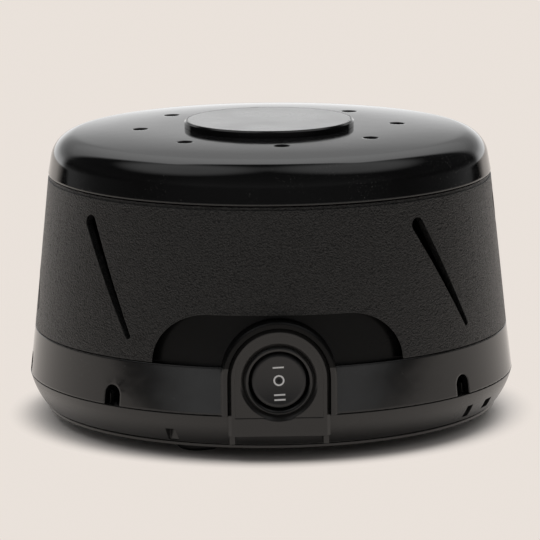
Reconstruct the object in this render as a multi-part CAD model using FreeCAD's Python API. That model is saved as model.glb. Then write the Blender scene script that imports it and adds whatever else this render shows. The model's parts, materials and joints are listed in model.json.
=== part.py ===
import FreeCAD, Part
import math
import os

# White noise sound machine, in millimetres. Z is up, the floor is z = 0 and the switch faces -Y.
# Azimuths are degrees round the vertical axis, from the front towards the right-hand side.

V = FreeCAD.Vector
CENTRE = V(0, 0, 0)
UP = V(0, 0, 1)
BACKWARD = V(0, 1, 0)

# Overall form
BODY_RADIUS = 73.0          # widest, at the seam between the pan and the housing
FOOT_HEIGHT = 3.2           # floor to the underside of the pan
PAN_HEIGHT = 10.3           # underside of the pan to the body seam
BAND_HEIGHT = 13.9          # plain band below the collar
BAND_DRAFT = 1.65           # radius lost over the band
COLLAR_HEIGHT = 45.5
COLLAR_TAPER = 4.75         # radius lost over the collar
CAP_HEIGHT = 13.5           # cap rim to its flat top
SEAM = 0.3                  # gap that shows between two shells

# Walls and running clearances
PAN_WALL = 2.4
HOUSING_WALL = 2.2
COLLAR_WALL = 2.4
CAP_WALL = 2.4
COLLAR_GAP = 0.4            # collar to the drum inside it
CAP_GAP = 0.5               # cap to the deck inside it
FIT = 0.1                   # parts that are pushed together
PLAY = 0.3                  # parts that run over each other
LAP = 0.5                   # solids of one moulding, run into each other
CLEAR = 1.0                 # cutters, past what they cut
WALL_ZONE = 12.0            # depth from the widest radius that holds every upright wall
TINY = 0.01                 # for telling which edges lie on a face

# Base pan
PAN_FLARE = 4.5             # radius gained by the rounded side, from the rim strip to the seam
RIM_STRIP_HEIGHT = 0.9
RIM_GROOVE = 0.5
RIM_STEP = 0.6
LIP_HEIGHT = 3.0            # locating lip that stands inside the band
LIP_WALL = 1.6
PAN_BULGE = 0.45            # how early the side leaves the seam: 0 is upright, 1 is straight

# Cap and the deck under it
CAP_DRAFT = 2.2             # radius that the cap's side would lose over its whole height
CAP_CORNER = 8.3
CAP_FLAT_RADIUS = 43.0
CAP_CROWN = 1.2             # fall of the crown over its reach from the flat
CAP_CROWN_REACH = 14.0
HOLE_COUNT = 8
HOLE_CIRCLE = 38.8
HOLE_RADIUS = 2.15
DECK_HOLE_RADIUS = 2.5
CAP_REST_TURN = 3.66        # where the cap was left, away from fully open
CAP_SHUT_TURN = 22.5
CUP_RADIUS = 14.0           # recess for the pivot screw
CUP_DROP = 2.3
CUP_WALL = 2.2
CUP_FLOOR = 2.0
WELL_GAP = 1.0              # cap's cup to the well that it sits in
PIVOT_BOSS = 5.0            # boss under the well, for the pivot screw
SPIGOT_RADIUS = 6.0
STOP_CIRCLE = 22.0
STOP_RADIUS = 1.5
STOP_GROOVE = 1.3
STOP_SPARE = 0.5            # degrees past each end of the groove
PIVOT_SCREW_LENGTH = 9.0
WASHER_BRIM = 3.0           # washer past the cap's pivot hole
WASHER_THICKNESS = 0.6

# Medallion
MEDALLION_RADIUS = 25.5
MEDALLION_HEIGHT = 2.03
MEDALLION_RIM = 0.9
MEDALLION_INLAY = 0.9
MEDALLION_RING_WALL = 1.6
MEDALLION_RING_DEPTH = 0.9
MEDALLION_EDGE = 0.5

# Slots of the collar and the ports behind them
SLOT_PITCH = 45.0
SLOT_SLANT = 7.4            # half the azimuth between the two ends of a slot
SLOT_TOP_RADIUS = 2.2
SLOT_TIP_RADIUS = 0.85
SLOT_TOP_RISE = 38.0        # centre of the wide end above the band
SLOT_TIP_RISE = 6.9
PORT_MARGIN = 0.5
CUTOUT_HALF_WIDTH = 36.2
CUTOUT_HEIGHT = 15.0
CUTOUT_CORNER = 16.2
CUTOUT_BEND = 0.55          # reach of each corner's handles, 0.55 for a true ellipse
COLLAR_LIP_HEIGHT = 0.9
COLLAR_LIP_STEP = 0.35

# Vent notches along the foot of the band
NOTCH_PHASE = 3.75
NOTCH_WIDTH = 5.9
NOTCH_HEIGHT = 6.3

# Small notches moulded in the side of the pan: azimuth, width, height, rise above the underside
PAN_NOTCHES = ((-26.0, 3.3, 3.8, 1.5), (53.2, 3.0, 3.6, 2.6), (62.6, 4.6, 2.8, 3.3))
PAN_NOTCH_DEPTH = 2.0

# Switch housing: hood on the housing, upright panel on the pan
ARCH_RISE = 11.1            # centre of the arch above the body seam
HOOD_INNER_RADIUS = 14.85
HOOD_WALL = 1.7
HOOD_PROUD = 0.4            # front of the hood, proud of the body
HOOD_EDGE = 0.5
PANEL_GAP = 0.2
PANEL_SET_BACK = 0.2
PANEL_THICKNESS = 2.8
PANEL_DROP = 5.6            # panel below the body seam
PANEL_EDGE = 1.0
PANEL_BORDER = 1.95
PANEL_INLAY = 0.25
PANEL_ROOT = 6.0            # block that ties the panel to the pan's side
RIB_WALL = 1.6
RIB_FOOT = 12.0
RIB_TOP = 2.0
DISH_RADIUS = 11.6
DISH_DEPTH = 1.2
SWITCH_DROP = 0.75          # switch centre below the arch centre
SWITCH_FLANGE_RADIUS = 10.0
SWITCH_FLANGE_PROUD = 0.9
SWITCH_FLANGE_EDGE = 0.5
SWITCH_MOUTH_RADIUS = 8.8
SWITCH_BODY_RADIUS = 9.4
SWITCH_BODY_DEPTH = 16.0
SWITCH_BACK_WALL = 2.0
ROCKER_RADIUS = 7.7
ROCKER_DEPTH = 3.5          # rocker face to its pivot
ROCKER_HOLLOW = 30.0        # radius of the hollow across the rocker's face
ROCKER_RECESS = 0.6
ROCKER_HEEL = 2.45          # pivot to the back of the ball
PIVOT_RADIUS = 1.0
STEM_RADIUS = 1.6
STEM_LENGTH = 5.5
STEM_FLARE = 1.0
TERMINAL_WIDTH = 4.8
TERMINAL_THICKNESS = 0.8
TERMINAL_LENGTH = 9.0
TERMINAL_PITCH = 5.2
TERMINAL_STUB = 1.0         # inside the switch
TERMINAL_HOLE = 0.8
TERMINAL_HOLE_INSET = 2.0

# Cord outlet at the back
OUTLET_WIDTH = 9.4
OUTLET_HEIGHT = 9.0
OUTLET_BORE_WIDTH = 6.4
OUTLET_BORE_HEIGHT = 5.2
OUTLET_BORE_EDGE = 1.2
OUTLET_FLANGE = 1.5
OUTLET_SILL = 1.4           # rubber under the bore

# Feet and case screws
CORNERS = 4
FOOT_PHASE = -24.5
FOOT_INSET = 18.0           # widest radius to the circle of the feet
FOOT_RADIUS = 6.5
FOOT_EDGE = 0.8
FOOT_SOCKET_DEPTH = 0.8
FOOT_PEG_RADIUS = 2.4
FOOT_PEG_PROUD = 0.6        # above the pan's floor
SCREW_PHASE = 25.5
SCREW_INSET = 9.7           # widest radius to the circle of the case screws
BOSS_RADIUS = 4.0
BOSS_HEIGHT = 22.0          # housing boss above the body seam
SCREW_RADIUS = 1.75
SCREW_HEAD_RADIUS = 3.0
SCREW_HEAD_HEIGHT = 2.2
SCREW_SEAT = 6.0            # pan underside to the seat of the screw head
SCREW_BITE = 9.0            # length in the housing boss
PILOT_SPARE = 2.0           # drilled past the screw's end

# Motor: shaded pole, with its shaft on the machine's axis
STACK_LIFT = 16.4           # pan floor to the underside of the stator
STACK_HEIGHT = 16.0
STACK_WIDTH = 56.0
STACK_FRONT = 22.0
STACK_BACK = 38.0
STACK_CORNER = 4.0
ARM_WIDTH = 10.0
WINDOW_NEAR = 17.0
AIR_GAP = 0.4
ROTOR_RADIUS = 12.8
POLE_SLOT = 2.4
POLE_NOTCH = 4.0            # depth of the slot opposite the coil
SHADING_REACH = 6.0
SHADING_WIRE = 1.6
SHADING_INSET = 2.5         # bore of the stator to the middle of a ring's near leg
SHADING_TURNS = (35, 215)
RING_HEIGHT = 2.0           # end rings of the rotor
RING_STEP = 0.8
SHAFT_RADIUS = 2.0
SHAFT_SHORT = 2.0           # lower bush's end to the end of the shaft
SHAFT_PROUD = 1.0           # above the fan's hub
SHAFT_EDGE = 0.4
BUSH_RADIUS = 4.0
BUSH_HEIGHT = 6.0
BUSH_FLANGE = 1.5
BUSH_FLANGE_HEIGHT = 1.0
BRACKET_THICKNESS = 1.5
BRACKET_RISE = 9.0
BRACKET_HALF_WIDTH = 8.0
BRACKET_RAMP = 5.0
BRACKET_INSET = 2.0         # wings, in from the stack's front
BOBBIN_WALL = 1.2
BOBBIN_FLANGE = 1.4
COIL_BUILD = 6.0
COIL_EDGE = 1.0
BOBBIN_BRIM = 1.0           # flange past the wire
MOTOR_SCREW_X = 23.0
MOTOR_SCREW_Y = 15.5
MOTOR_SCREW_RADIUS = 1.5
MOTOR_HEAD_RADIUS = 2.8
MOTOR_HEAD_HEIGHT = 2.0
GROMMET_HEIGHT = 4.0
GROMMET_RADIUS = 5.0
POST_RADIUS = 4.4
POST_BITE = 7.0

# Fan
FAN_LIFT = 3.0              # upper bush to the fan
FAN_RADIUS = 46.0
FAN_HEIGHT = 16.0
FAN_PLATE = 1.5
FAN_EYE_RADIUS = 30.0
FAN_BLADES = 12
FAN_BLADE_START = 19.0
FAN_BLADE_THICKNESS = 1.4
FAN_BLADE_INSET = 0.5       # blade tip, in from the rim
FAN_BEND_RADIUS = 33.0      # where a blade's bend is set, and its share of the sweep there
FAN_BEND_SWEEP = 0.38
FAN_SWEEP = 34.0
HUB_RADIUS = 6.0
HUB_HEIGHT = 11.0
HUB_FLARE = 2.0

# Radii and levels that follow from the sizes above
PAN_FOOT_RADIUS = BODY_RADIUS - PAN_FLARE
FOOT_CIRCLE = BODY_RADIUS - FOOT_INSET
SCREW_CIRCLE = BODY_RADIUS - SCREW_INSET
PAN_Z = FOOT_HEIGHT
FLOOR_Z = PAN_Z + PAN_WALL
RIM_TOP_Z = PAN_Z + RIM_STRIP_HEIGHT + RIM_GROOVE
SEAM_Z = PAN_Z + PAN_HEIGHT
BAND_Z = SEAM_Z + BAND_HEIGHT
COLLAR_Z = BAND_Z + SEAM
COLLAR_TOP_Z = COLLAR_Z + COLLAR_HEIGHT
CAP_Z = COLLAR_TOP_Z + SEAM
CAP_TOP_Z = CAP_Z + CAP_HEIGHT
CUP_TOP_Z = CAP_TOP_Z - CUP_DROP
CUP_UNDER_Z = CUP_TOP_Z - CUP_FLOOR
ARCH_Z = SEAM_Z + ARCH_RISE
SWITCH_Z = ARCH_Z - SWITCH_DROP
STACK_Z = FLOOR_Z + STACK_LIFT
STACK_TOP_Z = STACK_Z + STACK_HEIGHT
SHADING_NEAR = ROTOR_RADIUS + AIR_GAP + SHADING_INSET


class Outline:
    """A flat outline drawn edge by edge in the plane y = 0: across, then up."""

    def __init__(self, across, up):
        self.first = self.pen = V(across, 0, up)
        self.edges = []

    def to(self, across, up):
        end = V(across, 0, up)
        self.edges.append(Part.LineSegment(self.pen, end).toShape())
        self.pen = end
        return self

    def by(self, middle, end):
        stop = V(end[0], 0, end[1])
        self.edges.append(Part.Arc(self.pen, V(middle[0], 0, middle[1]), stop).toShape())
        self.pen = stop
        return self

    def bend(self, leave, arrive, end):
        """A smooth bend that leaves and arrives along the two given reaches."""
        stop = V(end[0], 0, end[1])
        curve = Part.BezierCurve()
        curve.setPoles([self.pen, self.pen + V(leave[0], 0, leave[1]),
                        stop - V(arrive[0], 0, arrive[1]), stop])
        self.edges.append(curve.toShape())
        self.pen = stop
        return self

    def face(self):
        if self.pen.distanceToPoint(self.first) > 1e-6:
            self.to(self.first.x, self.first.z)
        return Part.Face(Part.Wire(self.edges))

    def spun(self):
        return outward(self.face().revolve(CENTRE, UP, 360))

    def pushed(self, front, back):
        face = self.face()
        face.translate(V(0, front, 0))
        return outward(face.extrude(V(0, back - front, 0)))


def outward(solid):
    """The same solid with its faces looking outwards."""
    if solid.Volume < 0:
        solid.reverse()
    return solid


def at(radius, azimuth, z=0.0):
    a = math.radians(azimuth)
    return V(radius * math.sin(a), -radius * math.cos(a), z)


def turned(shape, azimuth):
    copy = shape.copy()
    copy.rotate(CENTRE, UP, azimuth)
    return copy


def rod(radius, low, high, place=CENTRE):
    return Part.makeCylinder(radius, high - low, V(place.x, place.y, low))


def pipe(outer, inner, low, high, place=CENTRE):
    return rod(outer, low, high, place).cut(rod(inner, low, high, place))


def level_rod(radius, front, back, x=0.0, z=0.0):
    return Part.makeCylinder(radius, back - front, V(x, front, z), BACKWARD)


def block(x0, x1, y0, y1, z0, z1):
    return Part.makeBox(x1 - x0, y1 - y0, z1 - z0, V(x0, y0, z0))


def arch(half_width, centre_z, foot_z, front, back):
    """A round-topped doorway shape, pushed along Y."""
    line = Outline(-half_width, foot_z).to(-half_width, centre_z)
    line.by((0, centre_z + half_width), (half_width, centre_z)).to(half_width, foot_z)
    return line.pushed(front, back)


def edges_at(shape, test):
    return [e for e in shape.Edges if test(e.BoundBox)]


def corners(phase):
    return [phase + k * 360.0 / CORNERS for k in range(CORNERS)]


def collar_radius(z):
    """Outside of the collar's cone at a height."""
    return BODY_RADIUS - BAND_DRAFT - COLLAR_TAPER * (z - BAND_Z) / (COLLAR_TOP_Z - BAND_Z)


def drum_radius(z):
    return collar_radius(z) - COLLAR_WALL - COLLAR_GAP


def pan_radius(z):
    """Outside of the pan's rounded side at a height."""
    t = (SEAM_Z - z) / (SEAM_Z - RIM_TOP_Z)
    return BODY_RADIUS - (BODY_RADIUS - PAN_FOOT_RADIUS) * (PAN_BULGE * t + (1 - PAN_BULGE) * t * t)


def dome(inset):
    """Points of the cap's outline, set in: end of the side, corner, end of the corner, flat."""
    rim = V(collar_radius(COLLAR_TOP_Z), 0, CAP_Z)
    side = V(-CAP_DRAFT, 0, CAP_HEIGHT).normalize()
    crown = V(-CAP_CROWN_REACH, 0, CAP_CROWN).normalize()
    inward = V(-side.z, 0, side.x)
    down = V(-crown.z, 0, crown.x)
    flat = V(CAP_FLAT_RADIUS, 0, CAP_TOP_Z)
    from_flat = rim + inward * CAP_CORNER - flat - down * CAP_CORNER
    centre = rim + inward * CAP_CORNER - side * (from_flat.dot(down) / side.dot(down))
    middle = (inward + down).normalize() * -1
    small = CAP_CORNER - inset
    flat_edge = flat + V(0, 0, -inset) + V(inset * down.x / (1 - down.z), 0, 0)
    return [centre - inward * small, centre + middle * small, centre - down * small, flat_edge]


def rim_radius(inset):
    """Radius of the cap's side, set in, at the level of its rim."""
    lean = math.atan2(CAP_DRAFT, CAP_HEIGHT)
    return collar_radius(COLLAR_TOP_Z) - inset / math.cos(lean)


def dome_up(line, inset):
    """From the rim up to the flat: a true round outside, and flats on the hidden faces."""
    side, corner, shoulder, flat = [(p.x, p.z) for p in dome(inset)]
    line.to(*side)
    if inset:
        line.to(*corner).to(*shoulder)
    else:
        line.by(corner, shoulder)
    return line.to(*flat)


def dome_down(line, inset):
    """The same way back along a hidden face, from the flat to the end of the side."""
    side, corner, shoulder, flat = [(p.x, p.z) for p in dome(inset)]
    return line.to(*flat).to(*shoulder).to(*corner).to(*side)


def teardrop(margin):
    """A slanted slot, round at both ends and tapering down, as a cutter at the front."""
    slant = math.radians(SLOT_SLANT)
    top_z = BAND_Z + SLOT_TOP_RISE
    tip_z = BAND_Z + SLOT_TIP_RISE
    top = V(-collar_radius(top_z) * math.sin(slant), 0, top_z)
    tip = V(collar_radius(tip_z) * math.sin(slant), 0, tip_z)
    wide = SLOT_TOP_RADIUS + margin
    thin = SLOT_TIP_RADIUS + margin
    way = tip - top
    lean = math.atan2(way.z, way.x)
    open_ = math.acos((wide - thin) / way.Length)

    def on(centre, radius, angle):
        return (centre.x + radius * math.cos(angle), centre.z + radius * math.sin(angle))

    line = Outline(*on(top, wide, lean - open_)).to(*on(tip, thin, lean - open_))
    line.by(on(tip, thin, lean), on(tip, thin, lean + open_))
    line.to(*on(top, wide, lean + open_))
    line.by(on(top, wide, lean + math.pi), on(top, wide, lean - open_))
    return line.pushed(-BODY_RADIUS - CLEAR, -BODY_RADIUS + 2 * WALL_ZONE)


def slots(margin):
    count = int(360 / SLOT_PITCH)
    return [turned(teardrop(margin), k * SLOT_PITCH) for k in range(1, count)]


def vent_notches():
    """The round-topped vents round the foot of the band, all but the one at the switch."""
    half = NOTCH_WIDTH / 2
    cutter = arch(half, SEAM_Z + NOTCH_HEIGHT - half, SEAM_Z - SEAM,
                  -BODY_RADIUS - CLEAR, -BODY_RADIUS + WALL_ZONE)
    outlet = int(180 / SLOT_PITCH)
    count = int(360 / SLOT_PITCH)
    return [turned(cutter, NOTCH_PHASE + k * SLOT_PITCH) for k in range(1, count) if k != outlet]


def outlet_shape(margin, front, back):
    """The cord outlet's rounded opening, drawn at the front and then turned to the back."""
    half = OUTLET_WIDTH / 2 + margin
    shape = arch(half, SEAM_Z + OUTLET_HEIGHT - OUTLET_WIDTH / 2, SEAM_Z - margin, front, back)
    return turned(shape, 180 + NOTCH_PHASE)


def housing():
    """One moulding: band, ledge, drum with ports, and the deck with its holes."""
    deck = CAP_WALL + CAP_GAP
    inner = deck + HOUSING_WALL
    foot_z = SEAM_Z + SEAM
    foot_radius = BODY_RADIUS - BAND_DRAFT * SEAM / BAND_HEIGHT
    well = CUP_RADIUS + CUP_WALL + WELL_GAP
    well_z = CUP_UNDER_Z - PLAY
    under_z = well_z - HOUSING_WALL
    line = Outline(foot_radius, foot_z).to(BODY_RADIUS - BAND_DRAFT, BAND_Z)
    line.to(drum_radius(BAND_Z), BAND_Z).to(drum_radius(COLLAR_TOP_Z), COLLAR_TOP_Z)
    dome_up(line, deck)
    line.to(well, CAP_TOP_Z - deck).to(well, well_z).to(SPIGOT_RADIUS, well_z)
    line.to(SPIGOT_RADIUS, CUP_TOP_Z + PLAY).to(SCREW_RADIUS + FIT, CUP_TOP_Z + PLAY)
    line.to(SCREW_RADIUS + FIT, under_z - PIVOT_BOSS).to(SPIGOT_RADIUS, under_z - PIVOT_BOSS)
    line.to(SPIGOT_RADIUS, under_z).to(well + HOUSING_WALL, under_z)
    line.to(well + HOUSING_WALL, CAP_TOP_Z - inner)
    dome_down(line, inner)
    line.to(drum_radius(BAND_Z) - HOUSING_WALL, BAND_Z - HOUSING_WALL)
    line.to(BODY_RADIUS - BAND_DRAFT - HOUSING_WALL, BAND_Z - HOUSING_WALL)
    line.to(foot_radius - HOUSING_WALL, foot_z)
    shell = line.spun()

    inside = Outline(0, foot_z).to(foot_radius - FIT, foot_z)
    inside.to(BODY_RADIUS - BAND_DRAFT - FIT, BAND_Z - FIT)
    inside.to(drum_radius(BAND_Z) - FIT, BAND_Z - FIT)
    inside.to(drum_radius(COLLAR_TOP_Z) - FIT, COLLAR_TOP_Z).to(0, COLLAR_TOP_Z)
    bosses = [rod(BOSS_RADIUS, SEAM_Z, SEAM_Z + BOSS_HEIGHT, at(SCREW_CIRCLE, a))
              for a in corners(SCREW_PHASE)]
    bosses = [b.common(inside.spun()) for b in bosses]
    feet = [rod(BOSS_RADIUS, SEAM_Z, foot_z + FIT, at(SCREW_CIRCLE, a)) for a in corners(SCREW_PHASE)]

    front = -BODY_RADIUS - HOOD_PROUD
    back = -drum_radius(BAND_Z) + 2 * HOUSING_WALL
    hood = arch(HOOD_INNER_RADIUS + HOOD_WALL, ARCH_Z, foot_z, front, back)
    lip = edges_at(hood, lambda b: b.YMax < front + TINY and b.ZMax > foot_z + TINY)
    hood = hood.makeChamfer(HOOD_EDGE, lip)
    way_in = arch(HOOD_INNER_RADIUS, ARCH_Z, SEAM_Z - CLEAR, front - CLEAR, back + WALL_ZONE)
    stop = rod(STOP_RADIUS, CAP_TOP_Z - deck - LAP, CAP_TOP_Z - CAP_WALL + STOP_GROOVE - PLAY,
               at(STOP_CIRCLE, 180 + CAP_REST_TURN))

    shell = shell.multiFuse(bosses + feet + [hood, stop])
    holes = [rod(DECK_HOLE_RADIUS, CAP_Z, CAP_TOP_Z, at(HOLE_CIRCLE, k * 360.0 / HOLE_COUNT))
             for k in range(HOLE_COUNT)]
    bores = [rod(SCREW_RADIUS - FIT, SEAM_Z - CLEAR, SEAM_Z + SCREW_BITE + PILOT_SPARE, at(SCREW_CIRCLE, a))
             for a in corners(SCREW_PHASE)]
    outlet = outlet_shape(FIT, -BODY_RADIUS - CLEAR, -BODY_RADIUS + WALL_ZONE)
    return shell.cut([way_in, outlet] + holes + bores + slots(PORT_MARGIN) + vent_notches())


def base_pan():
    """The lower moulding, with the upright switch panel, the motor posts and the bosses."""
    strip = PAN_FOOT_RADIUS - RIM_STEP
    rim = SEAM_Z
    lip_out = BODY_RADIUS - BAND_DRAFT * (LIP_HEIGHT + SEAM) / BAND_HEIGHT - HOUSING_WALL - PLAY
    middle_z = (SEAM_Z + RIM_TOP_Z) / 2
    line = Outline(0, PAN_Z).to(strip, PAN_Z).to(strip, PAN_Z + RIM_STRIP_HEIGHT)
    line.to(strip - RIM_STEP, PAN_Z + RIM_STRIP_HEIGHT).to(strip - RIM_STEP, RIM_TOP_Z)
    line.to(PAN_FOOT_RADIUS, RIM_TOP_Z)
    line.by((pan_radius(middle_z), middle_z), (BODY_RADIUS, rim))
    line.to(lip_out, rim).to(lip_out, rim + LIP_HEIGHT).to(lip_out - LIP_WALL, rim + LIP_HEIGHT)
    line.to(lip_out - LIP_WALL, rim - PAN_WALL)
    line.to(pan_radius(middle_z) - PAN_WALL, middle_z)
    line.to(strip - RIM_STEP - PAN_WALL, FLOOR_Z).to(0, FLOOR_Z)
    pan = line.spun()

    front = -BODY_RADIUS - HOOD_PROUD + PANEL_SET_BACK
    back = front + PANEL_THICKNESS
    half = HOOD_INNER_RADIUS - PANEL_GAP
    low = SEAM_Z - PANEL_DROP
    panel = arch(half, ARCH_Z, low, front, back)
    rim_edges = edges_at(panel, lambda b: b.YMax < front + TINY and b.ZMax > low + TINY)
    panel = panel.makeChamfer(PANEL_EDGE, rim_edges)
    inlay = arch(half - PANEL_BORDER, ARCH_Z, SEAM_Z - SEAM, front - CLEAR, front + PANEL_INLAY)
    root = block(-half, half, back - LAP, -pan_radius(low) + PANEL_ROOT, low + CLEAR, SEAM_Z - PAN_WALL)
    root = root.common(rod(BODY_RADIUS - CLEAR, low, SEAM_Z))

    posts = [rod(POST_RADIUS, FLOOR_Z - LAP, STACK_Z - BRACKET_THICKNESS - GROMMET_HEIGHT, p)
             for p in motor_points()]
    bosses = [rod(BOSS_RADIUS, PAN_Z + LAP, SEAM_Z, at(SCREW_CIRCLE, a)) for a in corners(SCREW_PHASE)]
    pan = pan.multiFuse([panel, root] + panel_ribs(back - LAP, half) + posts + bosses)

    switch_hole = level_rod(SWITCH_BODY_RADIUS + FIT, front - CLEAR, back + SWITCH_BODY_DEPTH, 0, SWITCH_Z)
    dish = Part.makeCone(DISH_RADIUS, SWITCH_FLANGE_RADIUS + FIT, DISH_DEPTH,
                         V(0, front, SWITCH_Z), BACKWARD)
    gap = block(-half - HOOD_WALL - PLAY, half + HOOD_WALL + PLAY, back, -BODY_RADIUS + WALL_ZONE,
                SEAM_Z, SEAM_Z + LIP_HEIGHT + CLEAR)
    gap = gap.cut(arch(half, ARCH_Z, low, back - LAP, -BODY_RADIUS + WALL_ZONE))
    heads = [rod(SCREW_HEAD_RADIUS + PLAY, PAN_Z - CLEAR, PAN_Z + SCREW_SEAT, at(SCREW_CIRCLE, a))
             for a in corners(SCREW_PHASE)]
    shanks = [rod(SCREW_RADIUS + FIT, PAN_Z, SEAM_Z + CLEAR, at(SCREW_CIRCLE, a)) for a in corners(SCREW_PHASE)]
    pilots = [rod(MOTOR_SCREW_RADIUS + FIT, motor_screw_end() - CLEAR, STACK_Z, p) for p in motor_points()]
    sockets = [rod(FOOT_RADIUS + FIT, PAN_Z - CLEAR, PAN_Z + FOOT_SOCKET_DEPTH, at(FOOT_CIRCLE, a))
               for a in corners(FOOT_PHASE)]
    pegs = [rod(FOOT_PEG_RADIUS + FIT, PAN_Z, FLOOR_Z + CLEAR, at(FOOT_CIRCLE, a)) for a in corners(FOOT_PHASE)]
    lip_zone = rod(BODY_RADIUS * 2, SEAM_Z, SEAM_Z + LIP_HEIGHT + CLEAR)
    outlet = outlet_shape(OUTLET_FLANGE + PLAY, -BODY_RADIUS + CLEAR, -BODY_RADIUS + WALL_ZONE).common(lip_zone)
    vents = [v.common(lip_zone) for v in vent_notches()]
    cutters = [inlay, dish, switch_hole, gap, outlet] + heads + shanks + pilots + sockets + pegs + vents
    return pan.cut(cutters + pan_notches())


def panel_ribs(front, half):
    """Two upright webs that brace the switch panel on the floor of the pan."""
    low = FLOOR_Z - LAP
    corners_ = [V(0, front, low), V(0, front + RIB_FOOT, low),
                V(0, front + RIB_TOP, ARCH_Z), V(0, front, ARCH_Z)]
    web = Part.Face(Part.makePolygon(corners_ + corners_[:1])).extrude(V(RIB_WALL, 0, 0))
    webs = []
    for x in (PANEL_BORDER - RIB_WALL - half, half - PANEL_BORDER):
        webs.append(outward(web.translated(V(x, 0, 0))))
    return webs


def pan_notches():
    """The small moulded notches, the same on both halves of the rounded side."""
    cutters = []
    for azimuth, width, height, rise in PAN_NOTCHES:
        outer = pan_radius(PAN_Z + rise + height / 2)
        notch = block(-width / 2, width / 2, -outer - 3 * CLEAR, -outer + PAN_NOTCH_DEPTH,
                      PAN_Z + rise, PAN_Z + rise + height)
        cutters += [turned(notch, azimuth), turned(notch, azimuth + 180)]
    return cutters


def collar():
    """The textured sleeve that turns: slots let the sound out, the cut-out clears the hood."""
    lip_z = COLLAR_TOP_Z - COLLAR_LIP_HEIGHT
    line = Outline(collar_radius(COLLAR_Z), COLLAR_Z).to(collar_radius(lip_z), lip_z)
    line.to(collar_radius(lip_z) - COLLAR_LIP_STEP, lip_z)
    line.to(collar_radius(COLLAR_TOP_Z) - COLLAR_LIP_STEP, COLLAR_TOP_Z)
    line.to(collar_radius(COLLAR_TOP_Z) - COLLAR_WALL, COLLAR_TOP_Z)
    line.to(collar_radius(COLLAR_Z) - COLLAR_WALL, COLLAR_Z)
    sleeve = line.spun()
    top = BAND_Z + CUTOUT_HEIGHT
    flat = CUTOUT_HALF_WIDTH - CUTOUT_CORNER
    cut = Outline(-CUTOUT_HALF_WIDTH, COLLAR_Z - CLEAR).to(-CUTOUT_HALF_WIDTH, BAND_Z)
    handle_up = CUTOUT_BEND * CUTOUT_HEIGHT
    handle_across = CUTOUT_BEND * CUTOUT_CORNER
    cut.bend((0, handle_up), (handle_across, 0), (-flat, top)).to(flat, top)
    cut.bend((handle_across, 0), (0, -handle_up), (CUTOUT_HALF_WIDTH, BAND_Z))
    cut.to(CUTOUT_HALF_WIDTH, COLLAR_Z - CLEAR)
    return sleeve.cut([cut.pushed(-BODY_RADIUS - CLEAR, 0)] + slots(0))


def cap():
    """The glossy cap that turns over the deck, with its ring of holes and its screw recess."""
    rim = collar_radius(COLLAR_TOP_Z)
    line = Outline(rim_radius(CAP_WALL), CAP_Z).to(rim, CAP_Z)
    dome_up(line, 0)
    line.to(CUP_RADIUS, CAP_TOP_Z).to(CUP_RADIUS, CUP_TOP_Z)
    line.to(SPIGOT_RADIUS + PLAY, CUP_TOP_Z).to(SPIGOT_RADIUS + PLAY, CUP_UNDER_Z)
    line.to(CUP_RADIUS + CUP_WALL, CUP_UNDER_Z).to(CUP_RADIUS + CUP_WALL, CAP_TOP_Z - CAP_WALL)
    dome_down(line, CAP_WALL)
    shell = line.spun()
    holes = [rod(HOLE_RADIUS, CAP_Z, CAP_TOP_Z + CLEAR, at(HOLE_CIRCLE, CAP_REST_TURN + k * 360.0 / HOLE_COUNT))
             for k in range(HOLE_COUNT)]
    half = STOP_RADIUS + PLAY
    spare = math.degrees(half / STOP_CIRCLE) + STOP_SPARE
    groove = Outline(STOP_CIRCLE - half, CAP_TOP_Z - CAP_WALL - CLEAR)
    groove.to(STOP_CIRCLE + half, CAP_TOP_Z - CAP_WALL - CLEAR)
    groove.to(STOP_CIRCLE + half, CAP_TOP_Z - CAP_WALL + STOP_GROOVE)
    groove.to(STOP_CIRCLE - half, CAP_TOP_Z - CAP_WALL + STOP_GROOVE)
    groove = outward(groove.face().revolve(CENTRE, UP, CAP_SHUT_TURN + 2 * spare))
    start = 180 + CAP_REST_TURN - (CAP_SHUT_TURN - CAP_REST_TURN) - spare
    return shell.cut(holes + [turned(groove, start - 90)])


def medallion_base():
    """The raised disc on the cap: chamfered edge, a pocket for the face and a locating ring."""
    top = CAP_TOP_Z + MEDALLION_HEIGHT
    ring = CUP_RADIUS - FIT
    line = Outline(0, CAP_TOP_Z).to(ring - MEDALLION_RING_WALL, CAP_TOP_Z)
    line.to(ring - MEDALLION_RING_WALL, CAP_TOP_Z - MEDALLION_RING_DEPTH)
    line.to(ring, CAP_TOP_Z - MEDALLION_RING_DEPTH).to(ring, CAP_TOP_Z).to(MEDALLION_RADIUS, CAP_TOP_Z)
    line.to(MEDALLION_RADIUS, top - MEDALLION_EDGE).to(MEDALLION_RADIUS - MEDALLION_EDGE, top)
    line.to(MEDALLION_RADIUS - MEDALLION_RIM, top).to(MEDALLION_RADIUS - MEDALLION_RIM, top - MEDALLION_INLAY)
    return line.to(0, top - MEDALLION_INLAY).spun()


def medallion_face():
    top = CAP_TOP_Z + MEDALLION_HEIGHT
    return rod(MEDALLION_RADIUS - MEDALLION_RIM - FIT, top - MEDALLION_INLAY, top)


def cap_washer():
    seat = CUP_TOP_Z + PLAY
    return pipe(SPIGOT_RADIUS + WASHER_BRIM, SCREW_RADIUS + FIT, seat, seat + WASHER_THICKNESS)


def cap_screw():
    seat = CUP_TOP_Z + PLAY + WASHER_THICKNESS
    head = rod(SCREW_HEAD_RADIUS, seat, CAP_TOP_Z - FIT)
    return head.fuse(rod(SCREW_RADIUS, seat - PIVOT_SCREW_LENGTH, seat)).removeSplitter()


def switch_front():
    return -BODY_RADIUS - HOOD_PROUD + PANEL_SET_BACK + DISH_DEPTH


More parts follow.
